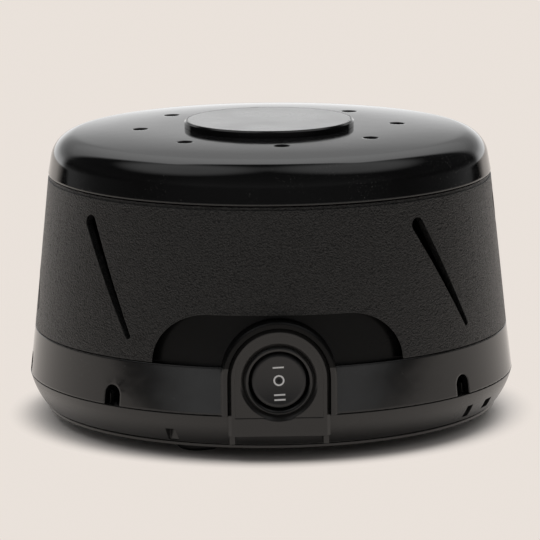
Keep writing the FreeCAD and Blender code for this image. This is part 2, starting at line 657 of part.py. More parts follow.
def switch_body():
    """A round rocker switch: bezel on the dish floor and a cup behind the panel."""
    seat = switch_front()
    back = seat + SWITCH_BODY_DEPTH
    bezel = level_rod(SWITCH_FLANGE_RADIUS, seat - SWITCH_FLANGE_PROUD, seat, 0, SWITCH_Z)
    rim = edges_at(bezel, lambda b: b.YMax < seat - SWITCH_FLANGE_PROUD + TINY)
    bezel = bezel.makeChamfer(SWITCH_FLANGE_EDGE, rim)
    body = bezel.fuse(level_rod(SWITCH_BODY_RADIUS, seat - LAP, back, 0, SWITCH_Z))
    pocket = level_rod(SWITCH_MOUTH_RADIUS, seat - SWITCH_FLANGE_PROUD - CLEAR, back - SWITCH_BACK_WALL,
                       0, SWITCH_Z)
    half = SWITCH_BODY_RADIUS - 2 * FIT
    sockets = Part.makeCylinder(PIVOT_RADIUS + FIT, 2 * half, V(-half, pivot_y(), SWITCH_Z), V(1, 0, 0))
    return body.cut([pocket, sockets] + blades(FIT))


def pivot_y():
    return switch_front() - SWITCH_FLANGE_PROUD + ROCKER_RECESS + ROCKER_DEPTH


def switch_rocker():
    """The round rocker: a ball about its pivot pin, with a hollow face and a plunger stem."""
    reach = math.hypot(ROCKER_RADIUS, ROCKER_DEPTH)
    rim = math.sqrt(ROCKER_HOLLOW ** 2 - ROCKER_RADIUS ** 2)
    halfway = ROCKER_DEPTH + rim - math.sqrt(ROCKER_HOLLOW ** 2 - ROCKER_RADIUS ** 2 / 4)
    line = Outline(0, -STEM_LENGTH).to(STEM_RADIUS, -STEM_LENGTH)
    line.to(STEM_RADIUS + STEM_FLARE, -ROCKER_HEEL)
    line.to(math.sqrt(reach ** 2 - ROCKER_HEEL ** 2), -ROCKER_HEEL)
    line.to(reach, 0).to(ROCKER_RADIUS, ROCKER_DEPTH)
    line.by((ROCKER_RADIUS / 2, halfway), (0, ROCKER_DEPTH + rim - ROCKER_HOLLOW))
    button = line.spun()
    button.rotate(CENTRE, V(1, 0, 0), 90)
    button.translate(V(0, pivot_y(), SWITCH_Z))
    half = SWITCH_BODY_RADIUS - 2 * FIT - PLAY
    pin = Part.makeCylinder(PIVOT_RADIUS, 2 * half, V(-half, pivot_y(), SWITCH_Z), V(1, 0, 0))
    return button.fuse(pin)


def blades(margin):
    """The three flat terminals in the back of the switch."""
    back = switch_front() + SWITCH_BODY_DEPTH
    half = TERMINAL_WIDTH / 2 + margin
    thin = TERMINAL_THICKNESS / 2 + margin
    made = []
    for k in (-1, 0, 1):
        z = SWITCH_Z + k * TERMINAL_PITCH
        made.append(block(-half, half, back - SWITCH_BACK_WALL - TERMINAL_STUB, back + TERMINAL_LENGTH,
                          z - thin, z + thin))
    return made


def switch_terminals():
    tabs = []
    for tab in blades(0):
        place = V(0, tab.BoundBox.YMax - TERMINAL_HOLE_INSET, tab.BoundBox.ZMin - CLEAR)
        tabs.append(tab.cut(Part.makeCylinder(TERMINAL_HOLE, TERMINAL_THICKNESS + 2 * CLEAR, place, UP)))
    return Part.makeCompound(tabs)


def cord_gland():
    """A rubber bush in the rear notch, grooved to hold the band, with the cord's passage bare."""
    wall_out = -BODY_RADIUS
    wall_in = -BODY_RADIUS + HOUSING_WALL + BAND_DRAFT
    neck = outlet_shape(0, wall_out, wall_in)
    outer = outlet_shape(OUTLET_FLANGE, wall_out - OUTLET_FLANGE, wall_out)
    inner = outlet_shape(OUTLET_FLANGE, wall_in, wall_in + OUTLET_FLANGE)
    keep = rod(BODY_RADIUS * 2, SEAM_Z, BAND_Z)
    gland = neck.multiFuse([outer, inner]).common(keep)
    sill = SEAM_Z + OUTLET_SILL
    bore = block(-OUTLET_BORE_WIDTH / 2, OUTLET_BORE_WIDTH / 2, wall_out - OUTLET_FLANGE - CLEAR,
                 -BODY_RADIUS + WALL_ZONE, sill, sill + OUTLET_BORE_HEIGHT)
    long_edges = edges_at(bore, lambda b: b.YLength > OUTLET_BORE_WIDTH)
    bore = bore.makeFillet(OUTLET_BORE_EDGE, long_edges)
    return gland.cut(turned(bore, 180 + NOTCH_PHASE))


def rubber_feet():
    feet = []
    for a in corners(FOOT_PHASE):
        place = at(FOOT_CIRCLE, a)
        pad = rod(FOOT_RADIUS, 0, PAN_Z + FOOT_SOCKET_DEPTH, place)
        pad = pad.makeChamfer(FOOT_EDGE, edges_at(pad, lambda b: b.ZMax < TINY))
        feet.append(pad.fuse(rod(FOOT_PEG_RADIUS, PAN_Z, FLOOR_Z + FOOT_PEG_PROUD, place)))
    return Part.makeCompound([f.removeSplitter() for f in feet])


def base_screws():
    seat = PAN_Z + SCREW_SEAT
    screws = []
    for a in corners(SCREW_PHASE):
        place = at(SCREW_CIRCLE, a)
        head = rod(SCREW_HEAD_RADIUS, seat - SCREW_HEAD_HEIGHT, seat, place)
        shank = rod(SCREW_RADIUS - 2 * FIT, seat, SEAM_Z + SCREW_BITE, place)
        screws.append(head.fuse(shank).removeSplitter())
    return Part.makeCompound(screws)


def motor_points():
    return [V(x, y, 0) for x in (-MOTOR_SCREW_X, MOTOR_SCREW_X) for y in (-MOTOR_SCREW_Y, MOTOR_SCREW_Y)]


def motor_screw_end():
    return STACK_Z - BRACKET_THICKNESS - GROMMET_HEIGHT - POST_BITE


def stator_core():
    """The stack of plates: rotor bore, window for the coil and the slots that split the poles."""
    half = STACK_WIDTH / 2
    core = block(-half, half, -STACK_FRONT, STACK_BACK, STACK_Z, STACK_TOP_Z)
    core = core.makeFillet(STACK_CORNER, edges_at(core, lambda b: b.ZLength > STACK_HEIGHT - TINY))
    window = block(-half + ARM_WIDTH, half - ARM_WIDTH, WINDOW_NEAR, STACK_BACK - ARM_WIDTH,
                   STACK_Z, STACK_TOP_Z)
    bore = rod(ROTOR_RADIUS + AIR_GAP, STACK_Z, STACK_TOP_Z)
    slit = block(-POLE_SLOT / 2, POLE_SLOT / 2, 0, WINDOW_NEAR + CLEAR, STACK_Z, STACK_TOP_Z)
    notch = block(-POLE_SLOT / 2, POLE_SLOT / 2, -ROTOR_RADIUS - POLE_NOTCH, 0, STACK_Z, STACK_TOP_Z)
    holes = [rod(MOTOR_SCREW_RADIUS + FIT, STACK_Z, STACK_TOP_Z, p) for p in motor_points()]
    return core.cut([window, bore, slit, notch] + holes + shading_slots())


def shading_slots():
    """Holes for the two legs of each copper ring, on opposite tips of the poles."""
    half = SHADING_WIRE / 2 + FIT
    holes = []
    for turn in SHADING_TURNS:
        for x in (SHADING_NEAR, SHADING_NEAR + SHADING_REACH):
            holes.append(turned(block(x - half, x + half, -half, half, STACK_Z, STACK_TOP_Z), turn))
    return holes


def shading_rings():
    half = SHADING_WIRE / 2
    rings = []
    for turn in SHADING_TURNS:
        near = SHADING_NEAR - half
        far = SHADING_NEAR + SHADING_REACH + half
        ring = block(near, far, -half, half, STACK_Z - SHADING_WIRE, STACK_TOP_Z + SHADING_WIRE)
        middle = block(near + SHADING_WIRE, far - SHADING_WIRE, -half, half, STACK_Z, STACK_TOP_Z)
        rings.append(turned(ring.cut(middle), turn))
    return Part.makeCompound(rings)


def leg():
    """The stator leg that the coil is wound round: x, y and z limits."""
    half = STACK_WIDTH / 2 - ARM_WIDTH
    return half, STACK_BACK - ARM_WIDTH, STACK_BACK


def around_leg(reach, half, grow):
    """A rounded tube round the leg, as thick as two distances from the iron."""
    _, near, far = leg()
    outer = block(-half, half, near - grow, far + grow, STACK_Z - grow, STACK_TOP_Z + grow)
    outer = outer.makeFillet(COIL_EDGE, edges_at(outer, lambda b: b.XLength > half))
    inner = block(-half, half, near - reach, far + reach, STACK_Z - reach, STACK_TOP_Z + reach)
    return outer.cut(inner)


def coil_bobbin():
    half = leg()[0] - FIT
    tube = around_leg(FIT, half, FIT + BOBBIN_WALL)
    ends = []
    for side in (-1, 1):
        plate = around_leg(FIT, BOBBIN_FLANGE / 2, FIT + BOBBIN_WALL + COIL_BUILD + BOBBIN_BRIM)
        plate.translate(V(side * (half - BOBBIN_FLANGE / 2), 0, 0))
        ends.append(plate)
    return tube.multiFuse(ends).removeSplitter()


def field_coil():
    half = leg()[0] - FIT - BOBBIN_FLANGE
    return around_leg(FIT + BOBBIN_WALL, half, FIT + BOBBIN_WALL + COIL_BUILD)


def bracket(seat, side):
    """A pressed strap over the rotor; side is 1 above the stack and -1 below it."""
    half = STACK_WIDTH / 2
    t = BRACKET_THICKNESS * side
    rise = BRACKET_RISE * side
    inner = half - ARM_WIDTH + CLEAR
    slope = t * math.tan(math.atan2(BRACKET_RAMP, BRACKET_RISE - BRACKET_THICKNESS) / 2) * side
    line = Outline(-half, seat).to(-half, seat + t).to(-inner, seat + t)
    line.to(-inner + BRACKET_RAMP, seat + rise).to(inner - BRACKET_RAMP, seat + rise)
    line.to(inner, seat + t).to(half, seat + t).to(half, seat).to(inner - slope, seat)
    line.to(inner - BRACKET_RAMP - slope, seat + rise - t).to(-inner + BRACKET_RAMP + slope, seat + rise - t)
    line.to(-inner + slope, seat)
    strap = line.pushed(-BRACKET_HALF_WIDTH, BRACKET_HALF_WIDTH)
    low, high = sorted((seat, seat + t))
    wings = [block(x0, x1, -STACK_FRONT + BRACKET_INSET, STACK_FRONT - BRACKET_INSET, low, high)
             for x0, x1 in ((-half, -inner), (inner, half))]
    body = strap.multiFuse(wings)
    holes = [rod(MOTOR_SCREW_RADIUS + FIT, low, high, p) for p in motor_points()]
    low, high = sorted((seat, seat + rise + t))
    return body.cut(holes + [rod(BUSH_RADIUS + FIT, low, high)]).removeSplitter()


def bush(seat, side):
    """A flanged bearing bush in the middle of a bracket."""
    face = seat + (BRACKET_RISE - BRACKET_THICKNESS) * side
    end = face + (BUSH_HEIGHT - BUSH_FLANGE_HEIGHT) * side
    low, high = sorted((face - BUSH_FLANGE_HEIGHT * side, end))
    flange_low, flange_high = sorted((face - BUSH_FLANGE_HEIGHT * side, face))
    body = rod(BUSH_RADIUS, low, high).fuse(rod(BUSH_RADIUS + BUSH_FLANGE, flange_low, flange_high))
    return body.cut(rod(SHAFT_RADIUS + FIT, low, high)).removeSplitter()


def rotor_core():
    low = STACK_Z - RING_HEIGHT
    high = STACK_TOP_Z + RING_HEIGHT
    core = rod(ROTOR_RADIUS, STACK_Z, STACK_TOP_Z)
    rings = [rod(ROTOR_RADIUS - RING_STEP, low, STACK_Z), rod(ROTOR_RADIUS - RING_STEP, STACK_TOP_Z, high)]
    bore = rod(SHAFT_RADIUS, low, high)
    return core.multiFuse(rings).cut(bore)


def fan_z():
    return STACK_TOP_Z + BRACKET_RISE - BRACKET_THICKNESS + BUSH_HEIGHT - BUSH_FLANGE_HEIGHT + FAN_LIFT


def rotor_shaft():
    low = STACK_Z - BRACKET_RISE - BUSH_HEIGHT + BRACKET_THICKNESS + SHAFT_SHORT
    shaft = rod(SHAFT_RADIUS, low, fan_z() + HUB_HEIGHT + SHAFT_PROUD)
    return shaft.makeChamfer(SHAFT_EDGE, edges_at(shaft, lambda b: b.ZLength < TINY))


def fan_blade():
    """A curved blade, leaning back from the way the wheel turns."""
    low = fan_z()
    points = []
    for radius, azimuth in ((FAN_BLADE_START, 0), (FAN_BEND_RADIUS, FAN_BEND_SWEEP * FAN_SWEEP),
                            (FAN_RADIUS - FAN_BLADE_INSET, FAN_SWEEP)):
        spread = math.degrees(FAN_BLADE_THICKNESS / 2 / radius)
        points.append((at(radius, azimuth - spread, low), at(radius, azimuth + spread, low)))
    (a0, a1), (b0, b1), (c0, c1) = points
    edges = [Part.Arc(a0, b0, c0).toShape(), Part.LineSegment(c0, c1).toShape(),
             Part.Arc(c1, b1, a1).toShape(), Part.LineSegment(a1, a0).toShape()]
    return outward(Part.Face(Part.Wire(edges)).extrude(V(0, 0, FAN_HEIGHT)))


def fan_wheel():
    """The blower wheel: back plate, hub, curved blades and the ring round the eye."""
    low = fan_z()
    high = low + FAN_HEIGHT
    plate = rod(FAN_RADIUS, low, low + FAN_PLATE)
    hub = Part.makeCone(HUB_RADIUS + HUB_FLARE, HUB_RADIUS, HUB_HEIGHT, V(0, 0, low))
    ring = pipe(FAN_RADIUS, FAN_EYE_RADIUS, high - FAN_PLATE, high)
    blades_ = [turned(fan_blade(), k * 360.0 / FAN_BLADES) for k in range(FAN_BLADES)]
    wheel = plate.multiFuse([hub, ring] + blades_)
    return wheel.cut(rod(SHAFT_RADIUS, low, high))


def motor_grommets():
    high = STACK_Z - BRACKET_THICKNESS
    return Part.makeCompound([pipe(GROMMET_RADIUS, MOTOR_SCREW_RADIUS + FIT, high - GROMMET_HEIGHT, high, p)
                              for p in motor_points()])


def motor_screws():
    seat = STACK_TOP_Z + BRACKET_THICKNESS
    low = motor_screw_end()
    screws = []
    for p in motor_points():
        head = rod(MOTOR_HEAD_RADIUS, seat, seat + MOTOR_HEAD_HEIGHT, p)
        screws.append(head.fuse(rod(MOTOR_SCREW_RADIUS, low, seat, p)).removeSplitter())
    return Part.makeCompound(screws)


PARTS = {
    "base_pan": base_pan,
    "housing": housing,
    "collar": collar,
    "cap": cap,
    "medallion_base": medallion_base,
    "medallion_face": medallion_face,
    "cap_washer": cap_washer,
    "cap_screw": cap_screw,
    "switch_body": switch_body,
    "switch_rocker": switch_rocker,
    "switch_terminals": switch_terminals,
    "cord_gland": cord_gland,
    "rubber_feet": rubber_feet,
    "base_screws": base_screws,
    "stator_core": stator_core,
    "shading_rings": shading_rings,
    "coil_bobbin": coil_bobbin,
    "field_coil": field_coil,
    "upper_bracket": lambda: bracket(STACK_TOP_Z, 1),
    "lower_bracket": lambda: bracket(STACK_Z, -1),
    "upper_bush": lambda: bush(STACK_TOP_Z, 1),
    "lower_bush": lambda: bush(STACK_Z, -1),
    "rotor_core": rotor_core,
    "rotor_shaft": rotor_shaft,
    "fan_wheel": fan_wheel,
    "motor_grommets": motor_grommets,
    "motor_screws": motor_screws,
}

os.makedirs("parts", exist_ok=True)
for name, make in PARTS.items():
    shape = make()
    shape.exportStep(f"parts/{name}.step")
    print(name, len(shape.Solids), "solids", round(shape.Volume), "mm3", shape.isValid())
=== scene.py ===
import json
import math

import bmesh
import bpy
import numpy as np
from mathutils import Matrix, Vector


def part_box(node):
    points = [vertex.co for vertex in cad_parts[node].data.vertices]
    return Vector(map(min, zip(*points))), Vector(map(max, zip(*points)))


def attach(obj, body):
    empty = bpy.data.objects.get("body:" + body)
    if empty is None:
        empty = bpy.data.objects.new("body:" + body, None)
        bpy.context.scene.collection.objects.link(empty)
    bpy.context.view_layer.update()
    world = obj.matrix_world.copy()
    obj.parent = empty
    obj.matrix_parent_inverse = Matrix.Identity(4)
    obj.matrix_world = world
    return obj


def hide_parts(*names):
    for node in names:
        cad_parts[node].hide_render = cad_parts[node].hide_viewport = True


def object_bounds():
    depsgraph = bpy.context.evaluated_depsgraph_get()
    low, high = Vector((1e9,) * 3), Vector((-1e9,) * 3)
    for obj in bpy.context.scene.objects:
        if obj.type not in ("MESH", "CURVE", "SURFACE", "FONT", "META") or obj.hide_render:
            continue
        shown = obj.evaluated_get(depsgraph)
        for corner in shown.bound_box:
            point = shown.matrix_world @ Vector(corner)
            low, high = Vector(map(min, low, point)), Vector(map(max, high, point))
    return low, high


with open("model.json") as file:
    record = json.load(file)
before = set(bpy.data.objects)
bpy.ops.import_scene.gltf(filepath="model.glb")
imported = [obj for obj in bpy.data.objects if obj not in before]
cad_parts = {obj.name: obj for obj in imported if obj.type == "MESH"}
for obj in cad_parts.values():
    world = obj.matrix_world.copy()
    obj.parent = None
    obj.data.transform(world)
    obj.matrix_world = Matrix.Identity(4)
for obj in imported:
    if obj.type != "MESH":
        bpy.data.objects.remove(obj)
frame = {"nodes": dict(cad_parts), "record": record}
CAD_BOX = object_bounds()

bl_info = {
    "name": "Tabletop sound machine",
    "version": (1, 0, 0),
    "blender": (4, 5, 0),
    "location": "3D View > Sidebar > Sound machine",
    "description": "Dresses a round fan sound machine: shells, switch, motor, fasteners and studio",
    "category": "Object",
}

MM = 0.001
WELD = 1e-6
UP = Vector((0, 0, 1))
SHARP = math.radians(32)       # faces that meet at more than this keep a crisp edge between them
TURNED = 0.07                  # most sideways part of the normal of a face turned about the axis
STANDING = 0.06                # least outward part of such a normal
FRONT_SHARE = 0.8              # share of the widest radius past which flat faces stand at the front
HOOD_HALF_WIDTH = 17.2 * MM    # half the width of the hood and the switch panel
FRAME_WIDTH = 36.0             # width of the camera's frame in millimetres

# Steps in which curved stretches are made
SECTOR_STEPS = 16
HOLE_SIDE_STEPS = 10
HOLE_SHARES = (1.0, 0.72, 0.5, 0.32, 0.19, 0.1, 0.04, 0.0)
HOLE_BAND = 7 * MM             # from a hole's centre to the edge of its ring
LIP_STEPS = 4
RIM_STEPS = 3
CORNER_STEPS = 14
CROWN_STEPS = 8
CUP_STEPS = 6
HIDDEN_STEPS = 4

# Screws: height of the head and radius of the shank
SCREWS = {
    "cap_screw": (1.3 * MM, 1.75 * MM),
    "motor_screws": (2.0 * MM, 1.5 * MM),
    "base_screws": (2.2 * MM, 1.55 * MM),
}
HEAD_SIDES = 40
BALL_SIDES = 48
SHANK_SIDES = 24
THREAD_STEPS = 20
RIDGE_SHARE = 0.25             # depth of the thread, as a share of its pitch
CROSS_SPAN = 1.15              # length of the cross, as a share of the head's radius
CROSS_TURN = 0.3
WIRE_SIDES = 8
WIRE_BEND_STEPS = 6

# Features in each metre of a pattern
SMEARS = 38.0
FINE_SMEARS = 420.0
DUST = 2600.0
DUST_PATCHES = 70.0
RIPPLE = 210.0
BROAD_SHADES = 30.0
DULL_BLOOM = 45.0
DULL_TOOTH = 1800.0
STAINS = 60.0
VARNISH_STAINS = 90.0
RUBBER_BLOOM = 120.0
RUBBER_TOOTH = 1500.0
INK_WEAR = 2200.0

DUST_COLOUR = (0.16, 0.155, 0.15)
PLATE_COLOUR = (0.42, 0.40, 0.38)
VARNISH_COLOUR = (0.22, 0.14, 0.08)
RUBBER_COLOUR = (0.012, 0.012, 0.012)
BLOOMED_RUBBER = (0.035, 0.034, 0.033)
INK_COLOUR = (0.85, 0.85, 0.85)
WORN_INK = (0.5, 0.5, 0.49)

# Light that a gloss mirrors, as pairs of how high it comes from (1 is overhead) and its level
LIGHT_BEHIND = ((0.0, 0.467), (0.10, 0.345), (0.18, 0.19), (0.267, 0.135), (0.33, 0.15), (0.37, 0.185),
                (0.51, 0.265), (0.65, 0.37), (0.77, 0.48), (0.865, 0.56), (0.90, 0.006))
LIGHT_AHEAD = ((0.0, 0.95), (0.05, 0.32), (0.12, 0.07), (0.17, 0.06), (0.26, 0.13), (0.45, 0.08), (1.0, 0.02))
BEHIND_GAIN = 3.0
BACK_EDGE = (0.70, 0.82)       # how far back a level way points where the light behind sets in
AHEAD_EDGE = (-0.85, -0.25)    # and where the light ahead fades to a fifth
OVERHEAD_EDGE = (0.86, 0.985)  # cosines between which a soft light overhead sets in
# Two soft lights overhead: direction and level
OVERHEAD = (((-0.46, 0.0, 0.90), 0.8), ((0.42, 0.0, 0.90), 0.75))
# Area lights: name, place, aim, size and share of the key's power
LAMPS = (("key_lamp", (0.45, 0.55, 1.05), (0.0, 0.0, 0.05), 0.7, 1.0),
         ("left_lamp", (-0.55, -0.15, 1.0), (0.0, 0.0, 0.06), 0.35, 0.22))
FLOOR_REACH = 3.0
FAR_FLOOR = (0.85, 1.3)        # radii between which the mirrored floor in front of the object goes dark
FLOOR_BACK = (0.70, 0.84)      # share of the way to the back between which it is bright again

# Levels and radii that the frame gives
CAP_LOW, CAP_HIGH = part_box("cap")
CAP_RADIUS = CAP_HIGH.x
RIM_Z = CAP_LOW.z
TOP_Z = CAP_HIGH.z
ROCKER_LOW, ROCKER_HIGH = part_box("switch_rocker")
ROCKER_FACE_Y = ROCKER_LOW.y
ROCKER_Z = (ROCKER_LOW.z + ROCKER_HIGH.z) / 2


class Value:
    """A node's output that takes part in plain arithmetic."""

    def __init__(self, graph, socket):
        self.graph = graph
        self.socket = socket

    def maths(self, operation, first, second):
        return self.graph.node("ShaderNodeMath", {"operation": operation}, {0: first, 1: second})

    def __add__(self, other):
        return self.maths("ADD", self, other)

    def __radd__(self, other):
        return self.maths("ADD", other, self)

    def __sub__(self, other):
        return self.maths("SUBTRACT", self, other)

    def __rsub__(self, other):
        return self.maths("SUBTRACT", other, self)

    def __mul__(self, other):
        return self.maths("MULTIPLY", self, other)

    def __rmul__(self, other):
        return self.maths("MULTIPLY", other, self)

    def __truediv__(self, other):
        return self.maths("DIVIDE", self, other)

    def __pow__(self, other):
        return self.maths("POWER", self, other)


class Graph:
    """Adds nodes to a tree: a node's settings come first, then the values or links of its sockets."""

    def __init__(self, tree):
        self.tree = tree

    def node(self, kind, settings=None, inputs=None, out=0):
        made = self.tree.nodes.new(kind)
        for name, value in (settings or {}).items():
            if name == "stops":
                self.set_stops(made.color_ramp, value)
            else:
                setattr(made, name, value)
        for name, value in (inputs or {}).items():
            self.put(made.inputs[name], value)
        return Value(self, made.outputs[out])

    def put(self, socket, value):
        if isinstance(value, Value):
            self.tree.links.new(value.socket, socket)
        else:
            socket.default_value = value

    def between(self, value, low, high, to_low=0.0, to_high=1.0):
        return self.node("ShaderNodeMapRange", {"interpolation_type": "SMOOTHSTEP"},
                         {"Value": value, "From Min": low, "From Max": high,
                          "To Min": to_low, "To Max": to_high})

    @staticmethod
    def set_stops(ramp, stops):
        while len(ramp.elements) < len(stops):
            ramp.elements.new(1.0)
        for element, (place, level) in zip(ramp.elements, stops):
            element.position = place
            element.color = (level, level, level, 1.0)


class Finish(Graph):
    """A material on one Principled shader, with patterns that stay on the object."""

    def __init__(self, name, colour, roughness, metallic=0.0):
        self.material = bpy.data.materials.new(name)
        self.material.use_nodes = True
        super().__init__(self.material.node_tree)
        self.shader = self.tree.nodes["Principled BSDF"]
        self.place = self.node("ShaderNodeTexCoord", out="Object")
        self.set("Base Color", (*colour, 1.0))
        self.set("Roughness", roughness)
        self.set("Metallic", metallic)

    def set(self, name, value):
        self.put(self.shader.inputs[name], value)

    def stretched(self, scale):
        return self.node("ShaderNodeMapping", {}, {"Vector": self.place, "Scale": scale})

    def noise(self, scale, detail=3.0, rough=0.5, place=None):
        return self.node("ShaderNodeTexNoise", {}, {"Vector": place or self.place, "Scale": scale,
                                                    "Detail": detail, "Roughness": rough}, "Fac")

    def cells(self, scale, feature="F1", place=None):
        return self.node("ShaderNodeTexVoronoi", {"feature": feature},
                         {"Vector": place or self.place, "Scale": scale}, "Distance")

    def tint(self, amount, first, second):
        return self.node("ShaderNodeMix", {"data_type": "RGBA"},
                         {0: amount, 6: (*first, 1.0), 7: (*second, 1.0)}, 2)

    def dent(self, height, depth, strength=1.0, under=None):
        inputs = {"Height": height, "Distance": depth, "Strength": strength}
        if under:
            inputs["Normal"] = under
        return self.node("ShaderNodeBump", {}, inputs)

    def softened(self, radius):
        return self.node("ShaderNodeBevel", {"samples": 6}, {"Radius": radius})


def gloss_black(name, settings, dusty=1.0, edge=0.25 * MM):
    """Polished black plastic with smears, a little dust and the faint ripple of a moulding."""
    base = settings.gloss_colour
    made = Finish(name, base, settings.gloss_roughness)
    smear = made.between(made.noise(SMEARS, 4.0, 0.6), 0.42, 0.72)
    fine = made.noise(FINE_SMEARS, 2.0)
    speck = made.between(made.noise(DUST, 0.0), 0.74, 0.80)
    patch = made.between(made.noise(DUST_PATCHES, 3.0), 0.46, 0.64)
    dust = speck * patch * (0.3 * dusty)
    made.set("Roughness", settings.gloss_roughness + smear * 0.035 + fine * 0.02 + dust * 0.4)
    made.set("Base Color", made.tint(dust, base, DUST_COLOUR))
    ripple = made.dent(made.noise(RIPPLE, 1.0), 0.02 * MM, 0.35, made.softened(edge))
    made.set("Normal", ripple)
    return made.material


def satin_black(name, colour, roughness, edge=0.25 * MM, scale=2400.0, depth=0.02 * MM):
    """Moulded plastic with a fine spark-eroded surface."""
    made = Finish(name, colour, roughness)
    tooth = made.noise(scale, 3.0, 0.6)
    broad = made.between(made.noise(BROAD_SHADES, 3.0), 0.35, 0.7)
    made.set("Roughness", roughness + broad * 0.08 - tooth * 0.04)
    lighter = tuple(c * 1.5 + 0.004 for c in colour)
    made.set("Base Color", made.tint(broad * 0.5, colour, lighter))
    made.set("Normal", made.dent(tooth, depth, 0.6, made.softened(edge)))
    return made.material


def dull_black(name, colour):
    """Moulded plastic that was never polished."""
    made = Finish(name, colour, 0.3)
    made.set("Specular IOR Level", 0.16)
    bloom = made.between(made.noise(DULL_BLOOM, 3.0), 0.35, 0.7)
    made.set("Roughness", 0.27 + bloom * 0.1)
    made.set("Normal", made.dent(made.noise(DULL_TOOTH), 0.02 * MM, 0.5, made.softened(0.25 * MM)))
    return made.material


def grain_black(name, settings):
    """Black plastic with a leather-like moulded grain: rounded pebbles and fine creases, with painted shade
    in the creases and painted highlights on the pebble tops.
    """
    colour = settings.grain_colour
    made = Finish(name, colour, settings.grain_roughness)
    made.set("Specular IOR Level", settings.grain_gloss)
    size = 1.0 / settings.grain_size
    wander = made.node("ShaderNodeTexNoise", {}, {"Vector": made.place, "Scale": size * 0.5, "Detail": 2.0},
                       "Color")
    warp = made.node("ShaderNodeVectorMath", {"operation": "MULTIPLY_ADD"},
                     {0: wander, 1: (0.0011, 0.0011, 0.0011), 2: made.place})
    pebble = made.cells(size, "SMOOTH_F1", warp)
    small = made.cells(size * 2.3, "SMOOTH_F1", warp)
    height = 1.0 - pebble * 1.1 - small * 0.35
    crease = made.between(pebble, 0.42, 0.75)
    fleck = made.between(made.noise(size * 1.1, 2.0, 0.7), 0.46, 0.66)
    # Painted shade and highlight: the colour is darker in the creases between pebbles and lighter on the
    # pebble tops, mixed with random flecks of tone
    crease_shade_and_flecks = made.between(pebble, 0.15, 0.75) * 0.6 + (1.0 - fleck) * 0.4
    made.set("Base Color", made.tint(crease_shade_and_flecks, tuple(c * 2.0 for c in colour), tuple(c * 0.3 for c in colour)))
    made.set("Roughness", settings.grain_roughness + crease * 0.15 - fleck * 0.05)
    made.set("Normal", made.dent(height, settings.grain_depth, 1.0, made.softened(0.3 * MM)))
    return made.material


def bare_metal(name, colour, roughness, streak=(1.0, 1.0, 1.0), fine=900.0):
    """Metal with a fine lay: the streak stretches its scratches along an axis."""
    made = Finish(name, colour, roughness, 1.0)
    lay = made.noise(fine, 3.0, 0.6, made.stretched(streak))
    stain = made.between(made.noise(STAINS, 3.0), 0.4, 0.7)
    made.set("Roughness", roughness + lay * 0.12 - 0.04 + stain * 0.05)
    darker = tuple(c * 0.8 for c in colour)
    made.set("Base Color", made.tint(stain * 0.5, colour, darker))
    made.set("Normal", made.dent(lay, 0.01 * MM, 0.4, made.softened(0.15 * MM)))
    return made.material


def sheet_stack(name, sheet):
    """The edges of thin stacked steel plates, with a brown bloom of varnish."""
    made = Finish(name, PLATE_COLOUR, 0.42, 0.9)
    up = made.node("ShaderNodeSeparateXYZ", {}, {0: made.place}, "Z")
    wave = made.node("ShaderNodeMath", {"operation": "PINGPONG"}, {0: up, 1: sheet / 2})
    line = made.between(wave, 0.0, sheet * 0.14)
    varnish = made.between(made.noise(VARNISH_STAINS, 4.0), 0.45, 0.7)
    made.set("Base Color", made.tint(varnish, PLATE_COLOUR, VARNISH_COLOUR))
    made.set("Roughness", 0.36 + varnish * 0.2)
    made.set("Normal", made.dent(line, 0.12 * MM, 0.8))
    return made.material


def plain_rubber(name):
    made = Finish(name, RUBBER_COLOUR, 0.62)
    bloom = made.between(made.noise(RUBBER_BLOOM, 4.0), 0.4, 0.75)
    made.set("Base Color", made.tint(bloom * 0.6, RUBBER_COLOUR, BLOOMED_RUBBER))
    made.set("Normal", made.dent(made.noise(RUBBER_TOOTH), 0.03 * MM, 0.5, made.softened(0.3 * MM)))
    return made.material


def white_ink(name):
    made = Finish(name, INK_COLOUR, 0.5)
    wear = made.between(made.noise(INK_WEAR, 3.0), 0.62, 0.8)
    made.set("Base Color", made.tint(wear * 0.4, INK_COLOUR, WORN_INK))
    return made.material


FINISHES = {}


